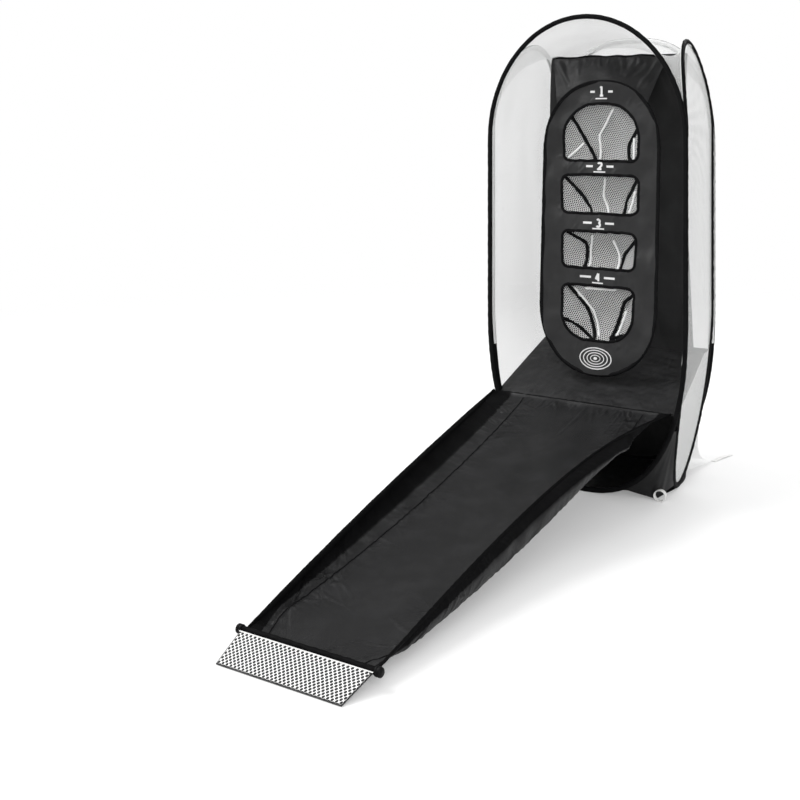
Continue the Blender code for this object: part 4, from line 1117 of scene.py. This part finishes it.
# for each pocket, the taped seams and the doubled pleats of its net: across -1 to 1, down 0 to 1,
# from the top pocket to the bottom one
POCKET_SEAMS = (
    (((-0.90, 0.16), (-0.56, 0.56), (-0.16, 1.0)), ((0.94, 0.40), (0.64, 0.66), (0.68, 0.90), (0.90, 1.0))),
    (((-0.95, 0.08), (-0.52, 0.55), (-0.24, 1.0)), ((0.93, 0.10), (0.60, 0.55), (0.56, 1.0))),
    (((-0.90, 0.05), (-0.43, 0.31), (-0.46, 1.0)), ((0.96, 0.20), (0.57, 0.55), (0.54, 1.0))),
    (((-0.86, 0.02), (-0.39, 0.42), (-0.14, 0.97)), ((-0.98, 0.60), (-0.59, 0.74), (-0.20, 0.96)),
     ((0.96, 0.12), (0.66, 0.26), (0.28, 0.92)), ((0.27, 0.93), (0.66, 0.82))),
)
POCKET_PLEATS = (
    (((0.28, 0.08), (-0.20, 0.52), (-0.10, 1.0)), ((-0.56, 0.64), (-0.90, 0.92)),
     ((0.80, 0.55), (0.84, 0.95))),
    (((0.10, 0.06), (-0.06, 0.50), (0.16, 0.96)), ((0.86, 0.36), (0.70, 0.90))),
    (((-0.22, 0.10), (-0.36, 0.50), (-0.34, 0.98)), ((0.30, 0.20), (0.44, 0.60), (0.44, 0.98))),
    (((-0.70, 0.06), (-0.24, 0.46), (-0.06, 0.90)), ((0.72, 0.40), (0.44, 0.86)),
     ((-0.4, 0.07), (0.5, 0.06))),
)


def pocket_line(window, marks, back, step=0.004):
    """A smooth line over a pocket's net through the given marks."""
    marks = np.array(marks, float)
    gaps = np.linalg.norm(np.diff(marks * (window[1] / 2, window[2]), axis=0), axis=1)
    gone = np.concatenate(((0,), np.cumsum(gaps)))
    turn = np.linspace(0, gone[-1], max(int(gone[-1] / step), 6))
    u = np.interp(turn, gone, marks[:, 0])
    v = np.interp(turn, gone, marks[:, 1])
    for _ in range(8):
        u[1:-1] = (u[:-2] + 2 * u[1:-1] + u[2:]) / 4
        v[1:-1] = (v[:-2] + 2 * v[1:-1] + v[2:]) / 4
    return pocket_place(window, u, 1 - v) - LEAN_BACK * back


def build_pockets():
    """The net bags behind the windows, with their taped seams and doubled pleats."""
    for n, window in enumerate(WINDOWS):
        name, wide, tall = window[:3]
        u, v = np.meshgrid(np.linspace(-1, 1, 81), np.linspace(0, 1, 61))
        x, y = u * wide / 2, v * tall
        lines = all_creases(
            ((-0.10, 0.02), (0.10, 0.02), 7, 150 + n, (0.04, 0.11), 0.0045, 0.5, 1.0),
            ((-0.12, 0.9 * tall), (0.12, 0.9 * tall), 7, 165 + n, (0.04, 0.12), 0.0050, 0.7, -1.0))
        lift = edge_fade(u.shape, 8) * (waves(x, y, 155 + n, 0.07) * 0.0030 + creases(x, y, lines))
        grid = pocket_place(window, u, v) + LEAN_BACK * lift[..., None]
        add_sheet(name + "_pocket_bag", grid, POCKET_NET, "target", (name + "_pocket_net",))
        for k, marks in enumerate(POCKET_SEAMS[n]):
            path = pocket_line(window, marks, 0.0022)
            section = folded_tape(len(path), 0.0030, -0.0022, 0.0066, 0.0060, 160 + 4 * n + k, 10)
            add_sweep("%s_pocket_seam_%d" % (name, k + 1), path, -LEAN_BACK, section, BINDING, "target")
        for k, marks in enumerate(POCKET_PLEATS[n]):
            path = pocket_line(window, marks, 0.0016)
            section = folded_tape(len(path), 0.0032, -0.0006, 0.0042, 0.0036, 240 + 4 * n + k, 10)
            turns = np.linspace(0.02, math.pi - 0.02, len(path))
            section = section * np.clip(6 * np.sin(turns), 0.15, 1)[:, None, None]
            add_sweep("%s_pocket_pleat_%d" % (name, k + 1), path, -LEAN_BACK, section, PLEAT_NET, "target")


def build_flap():
    """The cloth that hangs the target from the top of the back sheet."""
    tall = TARGET_CORNER - RIM
    level = TARGET_HEIGHT - TARGET_CORNER
    s = np.linspace(-1, 1, 80)
    x = s * (FLAP_FOOT + 0.046) / 2
    up = level + tall * (1 - np.abs(x / TARGET_HALF) ** TARGET_POWER) ** (1 / TARGET_POWER)
    low = on_target(x, up + 0.002, -0.0012)
    top = SHEET_TOP + TOP_FRILL + 0.0022 * waves(s * 0.2, s * 0, 177, 0.07)
    high = np.stack((s * (FLAP_TOP + 0.026) / 2, np.full(len(s), PIVOT_Y), top), axis=1)
    t = np.linspace(0, 1, 40)[:, None, None]
    grid = low + (high - low) * t
    u, v = grid[..., 0], grid[..., 2]
    fade = np.clip(np.minimum(t[..., 0], 1 - t[..., 0]) * 8, 0, 1)
    lines = [(0.20, 1.515, 0.14, 1.40, 0.007, 0.011), (-0.20, 1.51, -0.13, 1.41, 0.006, 0.010),
             (0.10, 1.515, 0.085, 1.44, 0.006, 0.012), (0.15, 1.50, 0.10, 1.44, -0.005, 0.010),
             (0.055, 1.515, 0.075, 1.45, 0.005, 0.009), (-0.12, 1.52, -0.10, 1.45, 0.004, 0.010)]
    lines += seam_creases((-0.20, 1.518), (0.20, 1.518), 16, 173, (0.012, 0.045), 0.0030, 0.9, -1.0)
    lift = creases(u, v, lines) + waves(u, v, 171, 0.08) * 0.0018
    grid = grid - LEAN_BACK * (fade * (lift + 0.001))[..., None]
    add_sheet("target_flap_cloth", grid[:, ::-1], CLOTH, "target", ("target_flap",), CLOTH_THICK)
    path = grid[-1] - LEAN_BACK * 0.0034 - (0, 0, 0.004)
    section = folded_tape(len(path), 0.0046, -0.0044, 0.0022, 0.0018, 178, 10)
    add_sweep("target_flap_hem", path, UP, section, BINDING, "target")


# ---- printing ---------------------------------------------------------------------------------

def print_shape(name, shapes):
    """A thin print on the target's face: bands between two lines, or a filled outline."""
    bm = bmesh.new()
    for *lines, closed in shapes:
        rows = []
        for line in lines:
            lift = -panel_relief(line[:, 0], line[:, 1]) - CLOTH_THICK / 2 - PRINT_THICK
            rows.append([bm.verts.new(p) for p in line_on_target(line, lift) - HOME])
        if len(rows) == 1:
            bm.faces.new(rows[0])
            continue
        outer, inner = rows
        for k in range(len(outer) if closed else len(outer) - 1):
            m = (k + 1) % len(outer)
            bm.faces.new((outer[k], outer[m], inner[m], inner[k]))
    bmesh.ops.triangulate(bm, faces=[f for f in bm.faces if len(f.verts) > 4])
    bmesh.ops.recalc_face_normals(bm, faces=bm.faces[:])
    place_piece(name, finished_mesh(name, bm), PRINT, "target")


def stroke(points, wide):
    """The two edges of a flat stroke along a line of points."""
    line = resample(points, 0.002)
    along = unit(np.gradient(line, axis=0))
    side = np.stack((-along[:, 1], along[:, 0]), axis=1) * wide / 2
    return line + side, line - side, False


def arc(up, half_width, half_height, first, last):
    """Points of an arc in a numeral's own measures, with its ends as angles in degrees."""
    turns = np.radians(np.linspace(first, last, 25))
    return [(half_width * math.cos(t), up + half_height * math.sin(t)) for t in turns]


# the strokes of each numeral, across in its widths and up in its heights from its middle
FOOT_LINE = -0.5
NUMERALS = (
    (((-0.16, 0.34), (0.06, 0.5), (0.06, -0.5)), ((-0.26, FOOT_LINE), (0.38, FOOT_LINE))),
    ((*arc(0.21, 0.42, 0.26, 160, -38), (-0.42, -0.46)), ((-0.46, FOOT_LINE), (0.46, FOOT_LINE))),
    (arc(0.24, 0.38, 0.23, 150, -80), arc(-0.22, 0.43, 0.25, 85, -150)),
    (((0.16, 0.5), (-0.44, -0.18), (0.48, -0.18)), ((0.2, 0.5), (0.2, -0.5))),
)


def numeral(strokes, middle, tall):
    """The strokes of a plain numeral. A foot line lies within its height."""
    wide = tall * 0.56
    made = []
    for line in strokes:
        rise = PRINT_STROKE / 2 if all(up == FOOT_LINE for _, up in line) else 0.0
        made.append(stroke([(across * wide, middle + up * tall + rise) for across, up in line], PRINT_STROKE))
    return made


def build_print():
    """A numeral over each window with a bar at each side and one below, and a mark of rings."""
    for n, window in enumerate(WINDOWS):
        tall, rise, low = (0.036, 0.047, 0.022) if n == 0 else (0.028, 0.0345, 0.0145)
        top = TARGET_HEIGHT - window[3]
        shapes = numeral(NUMERALS[n], top + rise, tall)
        shapes.append(stroke([(-0.022, top + low), (0.022, top + low)], PRINT_BAR))
        for side in (-1, 1):
            ends = [(side * 0.026, top + rise), (side * (0.044 + 0.008 * n), top + rise)]
            shapes.append(stroke(ends, PRINT_STROKE))
        print_shape("numeral_%d_print" % (n + 1), shapes)
    turns = np.linspace(0, TAU, 96, endpoint=False)
    ring = np.stack((np.cos(turns), np.sin(turns)), axis=1)
    centre = np.array((0.0, 0.064))
    shapes = []
    for k, wide in enumerate((0.062, 0.048, 0.034, 0.020)):
        outer = ring * (wide, wide * 0.62)
        shapes.append((centre + outer, centre + outer - ring * (0.0038 - 0.0004 * k), True))
    shapes.append((centre + ring * (0.0070, 0.0050), True))
    print_shape("ring_mark_print", shapes)


# ---- chute ------------------------------------------------------------------------------------

BAR_REACH = SLEEVE_RADIUS + SEAM


def chute_at(t):
    """Depth, edge and seam heights, seam half width, and both top edges, t from fold to bar."""
    y = -FIT - (CHUTE_LENGTH - FIT - BAR_REACH) * t
    top = FOLD_HEIGHT + EDGE_CORD
    edge = top + (BAR_HEIGHT - top) * t
    seam = edge - EDGE_CORD - CHUTE_SAG * np.sin(math.pi * t) ** 0.6
    half = (CHUTE_FLOOR_TOP + (CHUTE_FLOOR_END - CHUTE_FLOOR_TOP) * t) / 2
    half = half * (1 - 0.30 * np.clip((t - 0.90) / 0.10, 0, 1) ** 1.5)
    end = CHUTE_EDGE_END / 2
    wide = CHUTE_EDGE_TOP / 2 - end
    right = end + wide * np.exp(-t / 0.14) - 0.026 * np.sin(math.pi * t)
    left = -end - (wide + 0.034) * (1 - t) - 0.016 * np.sin(math.pi * t)
    return y, edge, seam, half, left, right


def seam_ripple(y, side):
    """Small in and out of the seam between floor and wall."""
    return 0.0012 * waves(y, y * 0 + side * 0.3, 181, 0.035, 7)


def ends_fade(count, reach=4):
    """0 at both ends of a row, 1 from reach steps inside them."""
    marks = np.arange(count)
    return np.clip(np.minimum(marks, marks[::-1]) / reach, 0, 1)


def build_chute_floor():
    t = np.linspace(0, 1, 320)
    y, _, seam, half, _, _ = chute_at(t)
    s = np.linspace(-1, 1, 110)
    x = half[:, None] * s[None, :]
    yy = np.repeat(y[:, None], len(s), axis=1)
    lines = []
    for side in (1, -1):
        start, end = (side * 0.225, -0.02), (side * 0.19, -1.50)
        lines += all_creases(
            (start, end, 90, 190 + side, (0.010, 0.034), 0.0020, 0.8, -side),
            (start, (side * 0.215, -0.30), 16, 192 + side, (0.05, 0.13), 0.0040, 0.9, -side),
            ((side * 0.19, -1.15), end, 14, 194 + side, (0.05, 0.16), 0.0042, 1.5, -side),
            ((side * 0.20, -0.5), (side * 0.19, -1.1), 8, 196 + side, (0.04, 0.10), 0.0026, 1.3, -side))
    lines += all_creases(
        ((-0.21, -0.006), (0.21, -0.006), 34, 197, (0.012, 0.06), 0.0034, 0.7, -1.0),
        ((0.02, -0.006), (0.21, -0.006), 8, 200, (0.06, 0.20), 0.0040, 0.5, -1.0),
        ((-0.13, -1.548), (0.13, -1.548), 16, 198, (0.03, 0.14), 0.0034, 0.9, 1.0))
    lift = creases(x, yy, lines) + waves(x, yy * 0.5, 199, 0.16) * 0.0022
    sag = -0.012 * (1 - s[None, :] ** 2) * np.sin(math.pi * t)[:, None] ** 0.7
    join = np.where(s[None, :] > 0, seam_ripple(yy, 1), seam_ripple(yy, -1)) * np.abs(s[None, :]) ** 6
    inside = np.clip((1 - np.abs(s[None, :])) * 16, 0, 1)
    z = seam[:, None] + ends_fade(len(t))[:, None] * (lift * inside + sag + join)
    floor = np.stack((x, yy, z), axis=2)
    add_sheet("chute_floor_cloth", floor[::-1], CLOTH, "chute", ("chute_floor",), CLOTH_THICK)


def wall_lines(side):
    """Folds of one chute wall: across it (0 at the seam) and along the chute."""
    return all_creases(
        ((0.0, -0.02), (0.0, -1.52), 60, 210 + side, (0.010, 0.030), 0.0018, 0.8, 1.0),
        ((0.075, -0.90), (0.075, -1.54), 46, 212 + side, (0.012, 0.035), 0.0030, 0.9, -1.0),
        ((0.075, -0.02), (0.075, -0.90), 22, 213 + side, (0.012, 0.030), 0.0014, 0.9, -1.0),
        ((0.0, -1.10), (0.0, -1.52), 12, 214 + side, (0.05, 0.14), 0.0050, 1.9, 1.0),
        ((0.0, -0.02), (0.0, -0.28), 10, 216 + side, (0.04, 0.10), 0.0055, 1.2, 1.0))


def build_chute_wall(side, name):
    """A wall with a darker band above (partly a dark hem band, partly painted shade), the hem round its edge
    cord, and its seam to the floor.
    """
    t = np.linspace(0, 1, 320)
    y, edge, seam, half, left, right = chute_at(t)
    w = np.linspace(0, 1, 30)[None, :]
    fade = ends_fade(len(t))[:, None]
    ripple = seam_ripple(y, side)[:, None]
    x0 = half[:, None]
    z0 = seam[:, None] + fade * ripple
    x1 = (right if side > 0 else -left)[:, None]
    z1 = (edge - CLOTH_THICK)[:, None]
    x = x0 + (x1 - x0) * w
    z = z0 + (z1 - z0) * w
    yy = np.repeat(y[:, None], w.shape[1], axis=1)
    across = w * 0.085 + 0 * yy
    lift = creases(across, yy, wall_lines(side)) + waves(across, yy, 218 + side, 0.11) * 0.0022
    hold = np.clip(np.minimum(w, 1 - w) * 7, 0, 1)
    middle = np.sin(math.pi * t)[:, None] ** 0.5
    slack = 0.012 + 0.046 * np.exp(-((t - 0.21) / 0.17) ** 2) if side > 0 else 0.018 + 0 * t
    belly = slack[:, None] * np.sin(math.pi * w) * middle
    slant = np.stack((z1 - z0, -(x1 - x0)), axis=-1)
    slant = slant / np.maximum(np.linalg.norm(slant, axis=-1, keepdims=True), 1e-6)
    push = fade * hold * lift + belly
    grid = np.stack((side * (x + slant[..., 0] * push), yy, z + slant[..., 1] * push), axis=2)
    # the upper part of each wall takes the near-black cloth: partly a dark hem band, partly painted shade
    split = int(w.shape[1] * (0.50 if side > 0 else 0.42))
    for part, cut, surface in (("", grid[:, :split + 2], CLOTH),
                               ("_top_band_painted_shade", grid[:, split:], NEAR_BLACK_CLOTH_AND_PAINTED_SHADE)):
        add_sheet("chute_%s_wall%s_cloth" % (name, part), cut[::-1] if side > 0 else cut, surface, "chute",
                  ("chute_%s_wall" % name,), CLOTH_THICK)
    path = np.stack((side * x1[:, 0], y, edge), axis=1)
    outward = np.stack((side * (x1 - x0)[:, 0], 0 * y, edge - seam + 0.004), axis=1)
    section = folded_tape(len(path), EDGE_CORD, -0.013, 0.0040, 0.0020, 220 + side)
    section[..., 0] *= np.clip(0.35 + 6 * np.minimum(t, 1 - t), 0, 1)[:, None]
    add_sweep("chute_%s_edge_hem" % name, path, outward, section, NEAR_BLACK_CLOTH_AND_PAINTED_SHADE, "chute",
              ("chute_%s_edge_cord" % name,))
    path = np.stack((side * (x0[:, 0] - 0.0006), y, z0[:, 0] + 0.0014), axis=1)[3:-3]
    up = (-side * 0.3, 0.0, 1.0)
    section = folded_tape(len(path), 0.0012, -0.0008, 0.0017, 0.0015, 224 + side, 8)
    add_sweep("chute_%s_seam" % name, path, up, section, BINDING, "chute")
    add_stitches("chute_%s_seam_stitches" % name, path + (-side * 0.004, 0, 0.0004), up, "chute")


def round_section(radius, sides):
    """Circles of the given radii, one for each point of a path."""
    turns = np.arange(sides) * TAU / sides
    return np.stack((radius * np.cos(turns), radius * np.sin(turns)), axis=2)


def build_crossbar():
    """The gathered sleeve round the rod, and an end cap at each side."""
    marks = np.linspace(-SLEEVE_LENGTH / 2, SLEEVE_LENGTH / 2, 150)
    path = np.stack((marks, np.full(150, -CHUTE_LENGTH), np.full(150, BAR_HEIGHT)), axis=1)
    sides = 28
    across, around = np.broadcast_arrays(marks[:, None], 0.01 * np.arange(sides) * TAU / sides)
    radius = SLEEVE_RADIUS + waves(across, around, 231, 0.02) * 0.0005 - 0.0003
    add_sweep("crossbar_sleeve_cloth", path, UP, round_section(radius, sides), NEAR_BLACK_CLOTH_AND_PAINTED_SHADE, "chute",
              ("crossbar_sleeve",))
    # a cap's outline: how far out from the sleeve's end, and its share of the cap's radius
    profile = np.array(((0.0, 0.60), (0.0, 0.94), (0.0012, 1.0), (0.0050, 1.0), (0.0062, 0.93), (0.0074, 1.0),
                        (CAP_LENGTH - 0.003, 1.0), (CAP_LENGTH - 0.0008, 0.90), (CAP_LENGTH + 0.0018, 0.62),
                        (CAP_LENGTH + 0.0022, 0.20)))
    apart = np.arange(len(profile)) * 1e-5
    for side, name in ((1, "right"), (-1, "left")):
        path = np.zeros((len(profile), 3)) + (0, -CHUTE_LENGTH, BAR_HEIGHT)
        path[:, 0] = side * (SLEEVE_LENGTH / 2 - 0.002 + profile[:, 0] + apart)
        section = round_section(CAP_RADIUS * profile[:, 1:], 32)
        add_sweep("crossbar_%s_end_cap" % name, path, UP, section, PLASTIC, "chute",
                  ("crossbar_%s_cap" % name,))


# ---- apron ------------------------------------------------------------------------------------

def on_apron(across, down, lift=0.0):
    """Points of the apron: across and down run 0 to 1 from the bar to its foot on the ground."""
    across, down, lift = np.broadcast_arrays(np.asarray(across, float), down, lift)
    start = BAR_REACH
    fall = BAR_HEIGHT - CLOTH_THICK
    run = APRON_LENGTH - start
    size = math.hypot(run, fall)
    half = (APRON_TOP + (APRON_FOOT - APRON_TOP) * down) / 2
    y = -CHUTE_LENGTH - start - run * down - lift * fall / size
    z = BAR_HEIGHT - fall * down + lift * run / size
    return np.stack(((2 * across - 1) * half, y, z), axis=-1)


def build_apron():
    """The backing cloth, the net of knotted strands over it and the white edge at the bar."""
    a, b = np.meshgrid(np.linspace(0, 1, 110), np.linspace(0, 1, 34))
    lift = edge_fade(a.shape, 3) * waves(a * 0.39, b * 0.11, 241, 0.05) * 0.0006
    cloth = on_apron(a, b, lift)[::-1]
    add_sheet("apron_backing_cloth", cloth, CLOTH, "apron", ("apron_cloth",), CLOTH_THICK)
    cols = int(APRON_TOP / APRON_CELL[0])
    rows = int(APRON_LENGTH / APRON_CELL[1])
    bm = bmesh.new()
    grid = {}
    for r in range(rows + 1):
        for c in range(2 * cols + 1):
            if (r + c) % 2 == 0:
                grid[r, c] = bm.verts.new(on_apron(c / (2 * cols), r / rows, APRON_LIFT) - HOME)
    for r in range(1, rows):
        for c in range(1, 2 * cols):
            if (r + c) % 2:
                bm.faces.new((grid[r - 1, c], grid[r, c + 1], grid[r + 1, c], grid[r, c - 1]))
    mesh = finished_mesh("apron_mesh_net", bm)
    piece = place_piece("apron_mesh_net", mesh, APRON_NET, "apron", ("apron_net",))
    strands = piece.modifiers.new("strands", "WIREFRAME")
    strands.thickness = APRON_STRAND
    strands.use_even_offset = False
    smooth = piece.modifiers.new("round", "SUBSURF")
    smooth.levels = smooth.render_levels = 1
    bpy.context.view_layer.objects.active = piece
    piece.select_set(True)
    for name in ("strands", "round"):
        bpy.ops.object.modifier_apply(modifier=name)
    piece.select_set(False)
    piece.data.shade_smooth()
    path = resample(on_apron(np.linspace(0, 1, 100), 0.02, 0.0026), 0.004)
    up = on_apron(0.5, 0.5, 1.0) - on_apron(0.5, 0.5, 0.0)
    add_sweep("apron_top_edge", path, up, band(0.0034, 0.0018), WEBBING, "apron", ("apron_hem",))


# ---- stage ------------------------------------------------------------------------------------

def build_floor():
    """White ground that takes a shadow near the net and is plain white far from it."""
    mesh = bpy.data.meshes.new("floor")
    mesh.from_pydata([(-30, -30, 0), (30, -30, 0), (30, 30, 0), (-30, 30, 0)], [], [(0, 1, 2, 3)])
    floor = bpy.data.objects.new("floor", mesh)
    bpy.context.scene.collection.objects.link(floor)
    floor.location.z = -0.0005
    ground = Surface("pale_floor", (1, 1, 1), 1.0, gloss=0.0)
    tree = ground.tree
    place = tree.nodes.new("ShaderNodeTexCoord")
    far = tree.nodes.new("ShaderNodeVectorMath")
    far.operation = "LENGTH"
    tree.links.new(place.outputs["Object"], far.inputs[0])
    rim = Value(tree, far.outputs["Value"]).between(2.2, 5.0)
    ray = Value(tree, tree.nodes.new("ShaderNodeLightPath").outputs["Is Camera Ray"])
    ground.shader.inputs["Emission Color"].default_value = (1, 1, 1, 1)
    tree.links.new((ray * (rim * 0.75 + 0.25)).socket, ground.shader.inputs["Emission Strength"])
    ground.colour(rim, (0.66, 0.66, 0.66), (0, 0, 0))
    mesh.materials.append(ground.material)


def build_world():
    """White all round, dimmer in reflections."""
    world = bpy.data.worlds.new("studio")
    bpy.context.scene.world = world
    world.use_nodes = True
    tree = world.node_tree
    back = tree.nodes["Background"]
    back.inputs["Color"].default_value = (1, 1, 1, 1)
    path = tree.nodes.new("ShaderNodeLightPath")
    camera = Value(tree, path.outputs["Is Camera Ray"])
    shine = Value(tree, path.outputs["Is Glossy Ray"])
    tree.links.new((camera * 0.05 + 0.95 - shine * 0.63).socket, back.inputs["Strength"])


# name, place, aim, size in metres, power in watts
LIGHTS = (
    ("key", (-3.0, -1.8, 3.6), (0, -0.4, 0.5), (2.4, 2.4), 120),
    ("fill", (2.6, -4.0, 2.4), (0, -0.2, 0.8), (2.5, 2.5), 50),
    ("rear", (0.2, 3.6, 3.4), (0, -0.7, 0.2), (3.0, 1.2), 60),
)


def build_lights():
    """The studio lamps, each turned to its aim."""
    for name, place, aim, size, power in LIGHTS:
        data = bpy.data.lights.new(name, "AREA")
        data.shape = "RECTANGLE"
        data.size, data.size_y = size
        data.energy = power
        lamp = bpy.data.objects.new(name, data)
        bpy.context.scene.collection.objects.link(lamp)
        lamp.location = place
        lamp.rotation_euler = (Vector(aim) - Vector(place)).to_track_quat("-Z", "Y").to_euler()


def build_camera():
    """The camera that takes the picture."""
    data = bpy.data.cameras.new("camera")
    camera = bpy.data.objects.new("camera", data)
    bpy.context.scene.collection.objects.link(camera)
    camera.location = (1.690, -3.745 - HOME[1], 1.281)
    camera.rotation_euler = (math.radians(90), 0, math.radians(33.2))
    data.lens, data.sensor_width = 52.5, 36
    data.shift_y = -0.347
    data.clip_end = 200
    bpy.context.scene.camera = camera
    bpy.context.scene.view_settings.view_transform = "Standard"


def main():
    build_hoops()
    build_side_nets()
    build_back_net()
    build_roof()
    build_slope()
    build_fold_seam()
    build_back_sheet()
    build_skirts()
    build_back_skirt()
    build_floor_sheet()
    build_gussets()
    build_webbing()
    build_panel()
    build_rim()
    build_hems()
    build_pockets()
    build_flap()
    build_print()
    build_chute_floor()
    build_chute_wall(1, "right")
    build_chute_wall(-1, "left")
    build_crossbar()
    build_apron()
    build_floor()
    build_world()
    build_lights()
    build_camera()


main()
